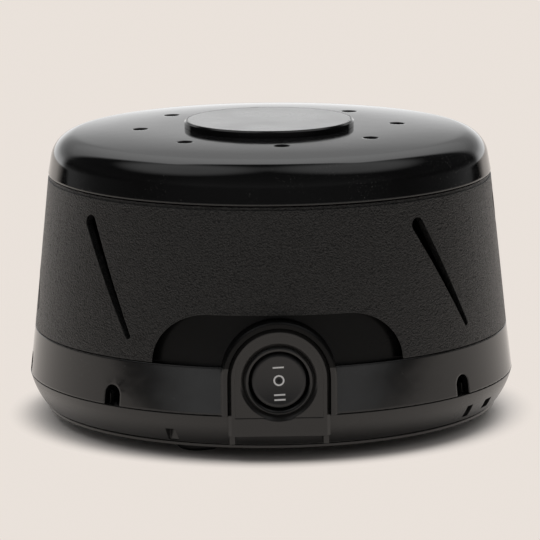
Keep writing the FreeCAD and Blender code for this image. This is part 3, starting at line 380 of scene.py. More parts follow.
def finish(name):
    """The material of one of the record's slots, made once."""
    shell = bpy.context.scene.sound_shell
    motor = bpy.context.scene.sound_motor
    recipes = {
        "cap_black": lambda: gloss_black("polished_cap", shell),
        "housing_black": lambda: gloss_black("polished_housing", shell, 0.6, 0.7 * MM),
        "shell_black": lambda: satin_black("moulded_pan", shell.pan_colour, shell.pan_roughness, 0.3 * MM),
        "collar_grain": lambda: grain_black("grained_collar", shell),
        "medallion_rim": lambda: gloss_black("medallion_edge", shell, 0.4, 0.15 * MM),
        "medallion_silver": lambda: bare_metal("satin_silver", (0.63, 0.63, 0.63), 0.26, (1.0, 6.0, 1.0),
                                               1400.0),
        "switch_black": lambda: satin_black("switch_nylon", (0.008, 0.008, 0.008), 0.30, 0.25 * MM, 3000.0),
        "rocker_black": lambda: satin_black("rocker_nylon", (0.014, 0.014, 0.015), 0.42, 0.25 * MM, 3200.0),
        "rubber": lambda: plain_rubber("black_rubber"),
        "steel": lambda: bare_metal("bright_steel", (0.56, 0.57, 0.58), 0.28),
        "zinc": lambda: bare_metal("zinc_plate", (0.60, 0.61, 0.58), 0.38, (1.0, 5.0, 1.0)),
        "brass": lambda: bare_metal("terminal_brass", (0.70, 0.55, 0.27), 0.34),
        "bronze": lambda: bare_metal("sintered_bronze", (0.45, 0.33, 0.19), 0.5),
        "copper": lambda: bare_metal("bare_copper", (0.70, 0.36, 0.22), 0.3),
        "winding": lambda: bare_metal("enamelled_wire", motor.wire_colour, 0.25),
        "laminations": lambda: sheet_stack("stacked_plates", motor.sheet_thickness),
        "white_plastic": lambda: satin_black("natural_nylon", (0.62, 0.58, 0.50), 0.45),
        "fan_plastic": lambda: satin_black("fan_plastic", (0.03, 0.03, 0.032), 0.45),
    }
    if name not in FINISHES:
        FINISHES[name] = recipes[name]()
    return FINISHES[name]


def slot_of(node):
    for part in frame["record"]["subparts"]:
        if part["node"] == node:
            return part["material_slot"]
    raise RuntimeError(f"no material slot for {node}")


def body_of(node):
    for body, nodes in frame["record"]["behaviour"]["bodies"].items():
        if node in nodes:
            return body
    raise RuntimeError(f"no body for {node}")


def stand_for(obj, *nodes):
    """A finished piece rides and is dressed as the nodes that it stands for."""
    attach(obj, body_of(nodes[0]))
    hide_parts(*nodes)
    slot = slot_of(nodes[0])
    if not obj.data.materials:
        obj.data.materials.append(finish(slot))
    return obj


def placed(name, mesh):
    obj = bpy.data.objects.new(name, mesh)
    bpy.context.scene.collection.objects.link(obj)
    return obj


def mesh_of(bm, name):
    mesh = bpy.data.meshes.new(name)
    bmesh.ops.remove_doubles(bm, verts=bm.verts, dist=WELD)
    bm.to_mesh(mesh)
    bm.free()
    mesh.polygons.foreach_set("use_smooth", [True] * len(mesh.polygons))
    mesh.set_sharp_from_angle(angle=SHARP)
    return mesh


def welded_copy(node):
    bm = bmesh.new()
    bm.from_mesh(frame["nodes"][node].data)
    return mesh_of(bm, f"{node}_mesh")


def turned_normals(mesh, flat_half_width=0.0):
    """Faces that belong to a surface turned about the vertical axis get its exact normals.

    flat_half_width keeps a strip at the front as it is, where flat faces stand across the axis."""
    count = len(mesh.polygons)
    normals = np.zeros(count * 3)
    centres = np.zeros(count * 3)
    mesh.polygons.foreach_get("normal", normals)
    mesh.polygons.foreach_get("center", centres)
    normals = normals.reshape(-1, 3)
    centres = centres.reshape(-1, 3)
    away = centres[:, :2] / np.maximum(np.linalg.norm(centres[:, :2], axis=1), 1e-9)[:, None]
    outward = (normals[:, :2] * away).sum(1)
    along = normals[:, 1] * away[:, 0] - normals[:, 0] * away[:, 1]
    flat = (np.abs(centres[:, 0]) < flat_half_width) & (centres[:, 1] < -FRONT_SHARE * CAD_BOX[1].x)
    round_ = (np.abs(along) < TURNED) & (np.abs(outward) > STANDING) & ~flat
    around = [[] for _ in mesh.vertices]
    for face in mesh.polygons:
        for vertex in face.vertices:
            around[vertex].append(face.index)
    corner = [None] * len(mesh.loops)
    limit = math.cos(SHARP)
    areas = [face.area for face in mesh.polygons]
    for face in mesh.polygons:
        i = face.index
        for loop in face.loop_indices:
            vertex = mesh.loops[loop].vertex_index
            place = mesh.vertices[vertex].co
            if round_[i]:
                sum_out = sum_up = 0.0
                for j in around[vertex]:
                    same = outward[i] * outward[j] + normals[i][2] * normals[j][2]
                    if round_[j] and same > limit:
                        sum_out += outward[j] * areas[j] ** 0.25
                        sum_up += normals[j][2] * areas[j] ** 0.25
                reach = math.hypot(place.x, place.y)
                normal = Vector((sum_out * place.x / reach, sum_out * place.y / reach, sum_up))
            else:
                normal = Vector()
                for j in around[vertex]:
                    if not round_[j] and float(normals[i] @ normals[j]) > limit:
                        normal += Vector(normals[j]) * areas[j] ** 0.5
            corner[loop] = normal.normalized()
    mesh.normals_split_custom_set(corner)


def dressed(node, turned=False, flat_half_width=0.0):
    """A smooth copy of a node, in its own finish."""
    mesh = welded_copy(node)
    if turned:
        turned_normals(mesh, flat_half_width)
    return stand_for(placed(f"{node}_skin", mesh), node)


class Lathe:
    """A mesh of rings about the vertical axis, with the same azimuths in each."""

    def __init__(self, sectors, steps, phase):
        self.bm = bmesh.new()
        self.sectors = sectors
        self.steps = steps
        self.phase = phase

    def azimuth(self, sector, share):
        return self.phase + (sector + share) * 2 * math.pi / self.sectors

    def ring(self, radius, z):
        made = []
        for k in range(self.sectors * self.steps):
            a = self.azimuth(0, k / self.steps)
            made.append(self.bm.verts.new((radius * math.sin(a), -radius * math.cos(a), z)))
        return made

    def join(self, first, second):
        count = len(first)
        for k in range(count):
            after = (k + 1) % count
            self.bm.faces.new((first[k], first[after], second[after], second[k]))

    def spin(self, profile):
        rings = [self.ring(*point) for point in profile]
        for first, second in zip(rings, rings[1:]):
            self.join(first, second)

    def strip(self, rows):
        """Faces between closed rows of points."""
        made = [[self.bm.verts.new(p) for p in row] for row in rows]
        for first, second in zip(made, made[1:]):
            self.join(first, second)


class Rule(Graph):
    """A geometry node tree with named sizes, whose result becomes a plain mesh."""

    def __init__(self, name, sizes):
        super().__init__(bpy.data.node_groups.new(name, "GeometryNodeTree"))
        self.sizes = sizes
        face = self.tree.interface
        face.new_socket("Geometry", in_out="INPUT", socket_type="NodeSocketGeometry")
        for label, value in sizes.items():
            kind = "NodeSocketInt" if isinstance(value, int) else "NodeSocketFloat"
            face.new_socket(label, in_out="INPUT", socket_type=kind).default_value = value
        face.new_socket("Geometry", in_out="OUTPUT", socket_type="NodeSocketGeometry")
        self.given = self.tree.nodes.new("NodeGroupInput")
        self.end = self.tree.nodes.new("NodeGroupOutput")

    def size(self, label):
        return Value(self, self.given.outputs[label])

    def vector(self, x=0.0, y=0.0, z=0.0):
        return self.node("ShaderNodeCombineXYZ", {}, {0: x, 1: y, 2: z})

    def moved(self, shape, x=0.0, y=0.0, z=0.0, turn=(0.0, 0.0, 0.0)):
        return self.node("GeometryNodeTransform", {}, {"Geometry": shape, "Translation": self.vector(x, y, z),
                                                       "Rotation": turn})

    def rod(self, radius, length, sides):
        return self.node("GeometryNodeMeshCylinder", {}, {
            "Vertices": sides, "Radius": radius, "Depth": length})

    def carved(self, operation, shape, *tools):
        """The shape with the tools cut out, or what it shares with them."""
        made = self.tree.nodes.new("GeometryNodeMeshBoolean")
        made.operation = operation
        self.put(made.inputs[0 if operation == "DIFFERENCE" else 1], shape)
        for tool in tools:
            self.put(made.inputs[1], tool)
        return Value(self, made.outputs[0])

    def joined(self, *shapes):
        made = self.tree.nodes.new("GeometryNodeJoinGeometry")
        for shape in shapes:
            self.put(made.inputs[0], shape)
        return Value(self, made.outputs[0])

    def run(self, name, start, shape, material):
        """Evaluates the rule on a starting mesh and returns the finished object."""
        whole = self.node("GeometryNodeRealizeInstances", {}, {"Geometry": shape})
        whole = self.node("GeometryNodeSetMaterial", {}, {"Geometry": whole, "Material": material})
        self.put(self.end.inputs[0], whole)
        made = placed(name, start)
        modifier = made.modifiers.new(name, "NODES")
        modifier.node_group = self.tree
        for item in self.tree.interface.items_tree:
            if item.in_out == "INPUT" and item.name in self.sizes:
                modifier[item.identifier] = self.sizes[item.name]
        graph = bpy.context.evaluated_depsgraph_get()
        mesh = bpy.data.meshes.new_from_object(made.evaluated_get(graph))
        made.modifiers.clear()
        made.data = mesh
        if not mesh.polygons:
            raise RuntimeError(f"{name} came out empty")
        mesh.polygons.foreach_set("use_smooth", [True] * len(mesh.polygons))
        mesh.set_sharp_from_angle(angle=SHARP)
        return made


def islands(node):
    """The lowest and highest corner of each separate solid of a node."""
    bm = bmesh.new()
    bm.from_mesh(frame["nodes"][node].data)
    bmesh.ops.remove_doubles(bm, verts=bm.verts, dist=WELD)
    left = set(bm.verts)
    found = []
    while left:
        seen = {left.pop()}
        edge = list(seen)
        while edge:
            for link in edge.pop().link_edges:
                for vertex in link.verts:
                    if vertex not in seen:
                        seen.add(vertex)
                        edge.append(vertex)
        left -= seen
        corners = np.array([v.co for v in seen])
        found.append((Vector(corners.min(0)), Vector(corners.max(0))))
    bm.free()
    return sorted(found, key=lambda box: tuple(box[0]))


def screws(node, settings, head_height, shank_radius, upside_down=False):
    """Domed screws with a cross recess and a thread, one on each screw of a node."""
    found = islands(node)
    low, high = found[0]
    rule = Rule(f"{node}_rule", {
        "Head radius": (high.x - low.x) / 2, "Head height": head_height, "Dome": settings.screw_dome,
        "Shank radius": shank_radius, "Length": high.z - low.z, "Pitch": settings.screw_pitch,
        "Recess width": settings.recess_width, "Recess depth": settings.recess_depth, "Sides": HEAD_SIDES})
    radius, height, dome = rule.size("Head radius"), rule.size("Head height"), rule.size("Dome")
    shank, length, pitch = rule.size("Shank radius"), rule.size("Length"), rule.size("Pitch")
    width, depth = rule.size("Recess width"), rule.size("Recess depth")
    disc = rule.moved(rule.rod(radius, height, rule.size("Sides")), z=height * -0.5)
    ball = rule.node("GeometryNodeMeshUVSphere", {}, {
        "Segments": BALL_SIDES, "Rings": BALL_SIDES, "Radius": dome})
    head = rule.carved("INTERSECT", disc, rule.moved(ball, z=dome * -1.0))
    arms = []
    for long_way in (True, False):
        span = radius * CROSS_SPAN
        sides = rule.vector(span if long_way else width, width if long_way else span, depth * 2.0)
        arms.append(rule.node("GeometryNodeMeshCube", {}, {"Size": sides}))
    head = rule.carved("DIFFERENCE", head, *arms)
    reach = length - height
    ridge_depth = pitch * RIDGE_SHARE
    core = rule.moved(rule.rod(shank - ridge_depth, reach, SHANK_SIDES), z=height * -1.0 - reach * 0.5)
    turns = (reach - pitch * 1.5) / pitch
    line = rule.node("GeometryNodeCurveSpiral", {}, {
        "Resolution": THREAD_STEPS, "Rotations": turns, "Start Radius": shank - ridge_depth,
        "End Radius": shank - ridge_depth, "Height": reach - pitch * 1.5})
    ridge = rule.node("GeometryNodeCurvePrimitiveCircle", {}, {"Resolution": 4, "Radius": ridge_depth})
    thread = rule.node("GeometryNodeCurveToMesh", {}, {
        "Curve": line, "Profile Curve": ridge, "Fill Caps": True})
    thread = rule.moved(thread, z=pitch * 0.5 - length)
    screw = rule.joined(head, core, thread)
    turned = (math.pi if upside_down else 0.0, 0.0, CROSS_TURN)
    each = rule.node("GeometryNodeInstanceOnPoints", {}, {
        "Points": Value(rule, rule.given.outputs["Geometry"]), "Instance": screw, "Rotation": turned})
    points = bpy.data.meshes.new(f"{node}_places")
    heads = [((a.x + b.x) / 2, (a.y + b.y) / 2, a.z if upside_down else b.z) for a, b in found]
    points.from_pydata(heads, [], [])
    return stand_for(rule.run(f"{node}_turned", points, each, finish(slot_of(node))), node)


def wound_coil(node, settings):
    """A layer of close turns of wire round the coil's core."""
    low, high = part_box(node)
    wire = settings.wire_radius
    turns = int((high.x - low.x) / (2 * wire))
    rule = Rule("winding_rule", {
        "Wire radius": wire, "Turns": turns, "Width": high.y - low.y, "Height": high.z - low.z,
        "Corner": settings.coil_corner, "Start": (low.x + high.x) / 2 - (turns - 1) * wire})
    radius = rule.size("Wire radius")
    loop = rule.node("GeometryNodeCurvePrimitiveQuadrilateral", {}, {
        "Width": rule.size("Height") - radius * 2.0, "Height": rule.size("Width") - radius * 2.0})
    loop = rule.node("GeometryNodeFilletCurve", {"mode": "POLY"}, {
        "Curve": loop, "Count": WIRE_BEND_STEPS, "Radius": rule.size("Corner")})
    loop = rule.moved(loop, turn=(0.0, math.pi / 2, 0.0))
    section = rule.node("GeometryNodeCurvePrimitiveCircle", {}, {"Resolution": WIRE_SIDES, "Radius": radius})
    turn = rule.node("GeometryNodeCurveToMesh", {}, {"Curve": loop, "Profile Curve": section})
    row = rule.node("GeometryNodeMeshLine", {}, {
        "Count": rule.size("Turns"), "Offset": rule.vector(radius * 2.0),
        "Start Location": rule.vector(rule.size("Start"), (low.y + high.y) / 2, (low.z + high.z) / 2)})
    layer = rule.node("GeometryNodeInstanceOnPoints", {}, {"Points": row, "Instance": turn})
    inward = rule.node("ShaderNodeVectorMath", {"operation": "SCALE"}, {
        0: rule.node("GeometryNodeInputNormal"), "Scale": radius * -1.0})
    core = rule.node("GeometryNodeSetPosition", {}, {
        "Geometry": Value(rule, rule.given.outputs["Geometry"]), "Offset": inward})
    both = rule.joined(core, layer)
    return stand_for(rule.run(f"{node}_wound", welded_copy(node), both, finish(slot_of(node))), node)


def cap_levels(settings):
    """The cap's outline: side, round corner and crown, as a function of how far in it lies."""
    draft = math.atan(settings.draft)
    slope = settings.crown_slope
    round_ = settings.corner
    centre_z = TOP_Z - settings.crown_drop - round_ * math.cos(slope)
    rise = centre_z + round_ * math.sin(draft) - RIM_Z
    centre_r = CAP_RADIUS - settings.draft * rise - round_ * math.cos(draft)
    shoulder = centre_r + round_ * math.sin(slope)
    power = math.tan(slope) * shoulder / settings.crown_drop

    def crown(radius):
        return TOP_Z - settings.crown_drop * (radius / shoulder) ** power

    def corner(inset, steps):
        points = []
        for k in range(steps + 1):
            a = draft + (math.pi / 2 - slope - draft) * k / steps
            reach = round_ - inset
            points.append((centre_r + reach * math.cos(a), centre_z + reach * math.sin(a)))
        return points

    return crown, corner, shoulder


def pierced(lathe, near, far, level, holes, down):
    """A ring of the crown with a hole in each sector, each with a rounded lip.

    level gives the height at a radius; down is 1 on the outside and 0 on the hidden face."""
    circle, radius, lip, depth = holes
    arc, side = lathe.steps, HOLE_SIDE_STEPS
    for sector in range(lathe.sectors):
        middle = lathe.azimuth(sector, 0.5)
        heart = Vector((circle * math.sin(middle), -circle * math.cos(middle)))
        edge = []
        for k in range(arc):
            edge.append((far, lathe.azimuth(sector, k / arc)))
        for k in range(side):
            edge.append((far + (near - far) * k / side, lathe.azimuth(sector, 1)))
        for k in range(arc):
            edge.append((near, lathe.azimuth(sector, 1 - k / arc)))
        for k in range(side):
            edge.append((near + (far - near) * k / side, lathe.azimuth(sector, 0)))
        outer = [Vector((r * math.sin(a), -r * math.cos(a))) for r, a in edge]
        ways = [(p - heart).normalized() for p in outer]
        rim = radius + lip * down
        rows = []
        for share in HOLE_SHARES:
            row = [heart + way * rim + (p - heart - way * rim) * share for p, way in zip(outer, ways)]
            rows.append([(p.x, p.y, level(p.length)) for p in row])
        if down:
            for k in range(1, LIP_STEPS + 1):
                a = math.pi / 2 * k / LIP_STEPS
                bend = [heart + way * (radius + lip * (1 - math.sin(a))) for way in ways]
                rows.append([(p.x, p.y, level(p.length) - lip * (1 - math.cos(a))) for p in bend])
            wall = [heart + way * radius for way in ways]
            rows.append([(p.x, p.y, level(p.length) - depth) for p in wall])
        lathe.strip(rows)


def supports(low, high, near):
    """Two points just inside the ends of a straight run, which keep its shading straight."""
    (r0, z0), (r1, z1) = low, high
    share = near / math.hypot(r1 - r0, z1 - z0)
    return [(r0 + (r1 - r0) * k, z0 + (z1 - z0) * k) for k in (share, 1.0 - share)]


def cap_mesh(settings):
    """The whole cap: crown with its ring of holes, corner, side, hidden faces and the screw recess."""
    crown, corner, shoulder = cap_levels(settings)
    wall = settings.wall
    sectors = settings.hole_count
    half = math.pi / sectors
    lathe = Lathe(sectors, SECTOR_STEPS, settings.rest_turn - half)
    holes = (settings.hole_circle, settings.hole_radius, settings.hole_lip, wall)
    near, far = settings.hole_circle - HOLE_BAND, settings.hole_circle + HOLE_BAND

    def hidden(radius):
        return crown(radius) - wall

    def sweep(low, high, level, steps):
        return [(low + (high - low) * k / steps, level(low + (high - low) * k / steps))
                for k in range(steps + 1)]

    rim = settings.rim_round
    side_in = wall / math.cos(math.atan(settings.draft))
    outer_side = corner(0.0, CORNER_STEPS)
    foot = [(CAP_RADIUS - side_in, RIM_Z), (CAP_RADIUS - rim, RIM_Z)]
    for k in range(1, RIM_STEPS + 1):
        a = math.pi / 2 * k / RIM_STEPS
        foot.append((CAP_RADIUS - rim * (1 - math.sin(a)), RIM_Z + rim * (1 - math.cos(a))))
    out = foot + supports(foot[-1], outer_side[0], settings.rim_round) + outer_side
    out += sweep(shoulder, far, crown, CROWN_STEPS)[1:]
    lathe.spin(out)
    pierced(lathe, near, far, crown, holes, 1)
    cup_top, cup_low = TOP_Z - settings.cup_drop, TOP_Z - settings.cup_drop - settings.cup_floor
    cup = settings.cup_radius
    middle = sweep(near, cup, crown, CUP_STEPS) + [(cup, cup_top), (settings.pivot_hole, cup_top),
                                           (settings.pivot_hole, cup_low), (cup + wall, cup_low)]
    lathe.spin(middle + sweep(cup + wall, near, hidden, HIDDEN_STEPS))
    pierced(lathe, near, far, hidden, holes, 0)
    inner_side = corner(wall, CROWN_STEPS)
    lathe.spin(sweep(far, inner_side[-1][0], hidden, HIDDEN_STEPS)[:-1] + inner_side[::-1] + foot[:1])
    bm = lathe.bm
    bmesh.ops.remove_doubles(bm, verts=bm.verts, dist=WELD)
    bmesh.ops.recalc_face_normals(bm, faces=bm.faces)
    return mesh_of(bm, "cap_mesh")


class ShellSettings(bpy.types.PropertyGroup):
    """Sizes and finishes of the cap, collar, housing and pan."""

    gloss_colour: bpy.props.FloatVectorProperty(
        name="Gloss colour", description="Colour of the polished plastic", subtype="COLOR",
        default=(0.0055, 0.0055, 0.0057), min=0.0, max=1.0)
    gloss_roughness: bpy.props.FloatProperty(
        name="Gloss roughness", description="Roughness of the polished plastic",
        default=0.065, min=0.0, max=1.0)
    pan_colour: bpy.props.FloatVectorProperty(
        name="Pan colour", description="Colour of the pan's plastic", subtype="COLOR",
        default=(0.014, 0.0135, 0.013), min=0.0, max=1.0)
    pan_roughness: bpy.props.FloatProperty(
        name="Pan roughness", description="Roughness of the pan's plastic", default=0.22, min=0.0, max=1.0)
    grain_colour: bpy.props.FloatVectorProperty(
        name="Grain colour", description="Colour of the grained collar", subtype="COLOR",
        default=(0.014, 0.014, 0.014), min=0.0, max=1.0)
    grain_roughness: bpy.props.FloatProperty(
        name="Grain roughness", description="Roughness of the grained collar", default=0.36, min=0.0, max=1.0)
    grain_gloss: bpy.props.FloatProperty(
        name="Grain gloss", description="Strength of the grain's mirrored light",
        default=0.4, min=0.0, max=1.0)
    grain_size: bpy.props.FloatProperty(
        name="Grain size", description="Width of one pebble", unit="LENGTH", default=0.45 * MM, min=0.2 * MM)
    grain_depth: bpy.props.FloatProperty(
        name="Grain depth", description="Depth of the creases", unit="LENGTH", default=0.26 * MM, min=0.0)
    draft: bpy.props.FloatProperty(
        name="Cap draft", description="Inward lean of the cap's side, as a slope",
        default=2.2 / 13.5, min=0.0)
    corner: bpy.props.FloatProperty(
        name="Cap corner", description="Radius of the cap's corner", unit="LENGTH", default=8.3 * MM, min=MM)
    crown_drop: bpy.props.FloatProperty(
        name="Crown drop", description="Fall of the crown to the corner",
        unit="LENGTH", default=1.3 * MM, min=0.1 * MM)
    crown_slope: bpy.props.FloatProperty(
        name="Crown slope", description="Slope of the crown where the corner starts", subtype="ANGLE",
        default=math.radians(5.6), min=0.01, max=0.5)
    wall: bpy.props.FloatProperty(
        name="Cap wall", description="Thickness of the cap", unit="LENGTH", default=2.4 * MM, min=0.5 * MM)
    rim_round: bpy.props.FloatProperty(
        name="Rim round", description="Rounding of the cap's lower edge",
        unit="LENGTH", default=0.35 * MM, min=0.05 * MM)
    hole_count: bpy.props.IntProperty(
        name="Holes", description="Number of holes in the cap", default=8, min=3, max=24)
    hole_circle: bpy.props.FloatProperty(
        name="Hole circle", description="Radius of the ring of holes", unit="LENGTH", default=38.8 * MM)
    hole_radius: bpy.props.FloatProperty(
        name="Hole radius", description="Radius of a hole", unit="LENGTH", default=2.15 * MM, min=0.5 * MM)
    hole_lip: bpy.props.FloatProperty(
        name="Hole lip", description="Rounding of a hole's edge",
        unit="LENGTH", default=0.3 * MM, min=0.05 * MM)
    rest_turn: bpy.props.FloatProperty(
        name="Cap turn", description="Azimuth of the first hole", subtype="ANGLE", default=math.radians(3.66))
    cup_radius: bpy.props.FloatProperty(
        name="Cup radius", description="Radius of the recess for the pivot", unit="LENGTH", default=14.0 * MM)
    cup_drop: bpy.props.FloatProperty(
        name="Cup drop", description="Depth of the recess", unit="LENGTH", default=2.3 * MM)
    cup_floor: bpy.props.FloatProperty(
        name="Cup floor", description="Thickness of the recess's floor", unit="LENGTH", default=2.0 * MM)
    pivot_hole: bpy.props.FloatProperty(
        name="Pivot hole", description="Radius of the hole that turns on the deck",
        unit="LENGTH", default=6.3 * MM)


class SwitchSettings(bpy.types.PropertyGroup):
    """The rocker's hollow face and the marks on it."""

    hollow: bpy.props.FloatProperty(
        name="Hollow", description="Radius of the hollow across the rocker's face",
        unit="LENGTH", default=30 * MM)
    face_radius: bpy.props.FloatProperty(
        name="Face radius", description="Radius of the rocker's face", unit="LENGTH", default=7.7 * MM)
    mark_width: bpy.props.FloatProperty(
        name="Mark width", description="Length of a bar", unit="LENGTH", default=3.2 * MM)
    stroke: bpy.props.FloatProperty(
        name="Stroke", description="Thickness of the printed lines", unit="LENGTH", default=0.48 * MM)
    ring_radius: bpy.props.FloatProperty(
        name="Ring radius", description="Outer radius of the off mark", unit="LENGTH", default=1.6 * MM)
    mark_turn: bpy.props.FloatProperty(
        name="Mark turn", description="Turn of the print", subtype="ANGLE", default=math.radians(2.5))
    bar_low: bpy.props.FloatProperty(
        name="Low bars", description="Drop of the double bar", unit="LENGTH", default=4.85 * MM)
    bar_high: bpy.props.FloatProperty(
        name="High bar", description="Rise of the single bar", unit="LENGTH", default=3.85 * MM)
    sunk: bpy.props.FloatProperty(
        name="Sunk", description="Depth of the print below the rocker's face",
        unit="LENGTH", default=0.03 * MM)
    proud: bpy.props.FloatProperty(
        name="Proud", description="Height of the print above it", unit="LENGTH", default=0.045 * MM)
    bar_gap: bpy.props.FloatProperty(
        name="Bar gap", description="Distance between the two bars", unit="LENGTH", default=1.4 * MM)


class MotorSettings(bpy.types.PropertyGroup):
    """Wire, plates and screws of the motor and case."""

    wire_colour: bpy.props.FloatVectorProperty(
        name="Wire colour", description="Colour of the enamelled wire", subtype="COLOR",
        default=(0.55, 0.22, 0.10), min=0.0, max=1.0)
    wire_radius: bpy.props.FloatProperty(
        name="Wire radius", description="Radius of the wire", unit="LENGTH", default=0.32 * MM, min=0.05 * MM)
    sheet_thickness: bpy.props.FloatProperty(
        name="Plate thickness", description="Thickness of one steel plate",
        unit="LENGTH", default=0.8 * MM, min=0.1 * MM)
    coil_corner: bpy.props.FloatProperty(
        name="Coil corner", description="Bend of a turn round the coil's corners",
        unit="LENGTH", default=1.2 * MM)
    screw_dome: bpy.props.FloatProperty(
        name="Dome", description="Radius of the screw heads' crown", unit="LENGTH", default=7.0 * MM)
    screw_pitch: bpy.props.FloatProperty(
        name="Pitch", description="Distance between the turns of a thread", unit="LENGTH", default=0.9 * MM)
    recess_width: bpy.props.FloatProperty(
        name="Recess width", description="Width of an arm of a screw's cross",
        unit="LENGTH", default=0.75 * MM)
    recess_depth: bpy.props.FloatProperty(
        name="Recess depth", description="Depth of a screw's cross", unit="LENGTH", default=1.1 * MM)


class StageSettings(bpy.types.PropertyGroup):
    """Camera, floor and light."""

    floor_colour: bpy.props.FloatVectorProperty(
        name="Floor colour", description="Colour of the pale floor", subtype="COLOR",
        default=(0.82, 0.758, 0.705), min=0.0, max=1.0)
    shade_colour: bpy.props.FloatVectorProperty(
        name="Shade colour", description="Colour of the floor beside the object", subtype="COLOR",
        default=(0.80, 0.757, 0.722), min=0.0, max=1.0)
    ambient: bpy.props.FloatProperty(
        name="Ambient", description="Even light on matt surfaces", default=0.62, min=0.0)
    shadow_near: bpy.props.FloatProperty(
        name="Shadow near", description="Radius where the floor's shadow starts to fade",
        unit="LENGTH", default=0.068)
    shadow_far: bpy.props.FloatProperty(
        name="Shadow far", description="Radius where the floor's shadow has gone",
        unit="LENGTH", default=0.081)
    key_power: bpy.props.FloatProperty(
        name="Key", description="Power of the soft light overhead", unit="POWER", default=7.0, min=0.0)
    camera_place: bpy.props.FloatVectorProperty(
        name="Camera place", description="Where the camera stands", unit="LENGTH", subtype="TRANSLATION",
        default=(-0.03586, -1.17033, 0.26127))
    camera_way: bpy.props.FloatVectorProperty(
        name="Camera way", description="Direction that the camera looks in", subtype="DIRECTION",
        default=(0.03002, 0.98257, -0.18347))
    camera_roll: bpy.props.FloatProperty(
        name="Camera roll", description="Tilt of the picture", subtype="ANGLE", default=math.radians(-0.493))
    camera_lens: bpy.props.FloatProperty(
        name="Lens", description="Focal length for a 36 mm frame, in millimetres", default=262.06, min=10.0)


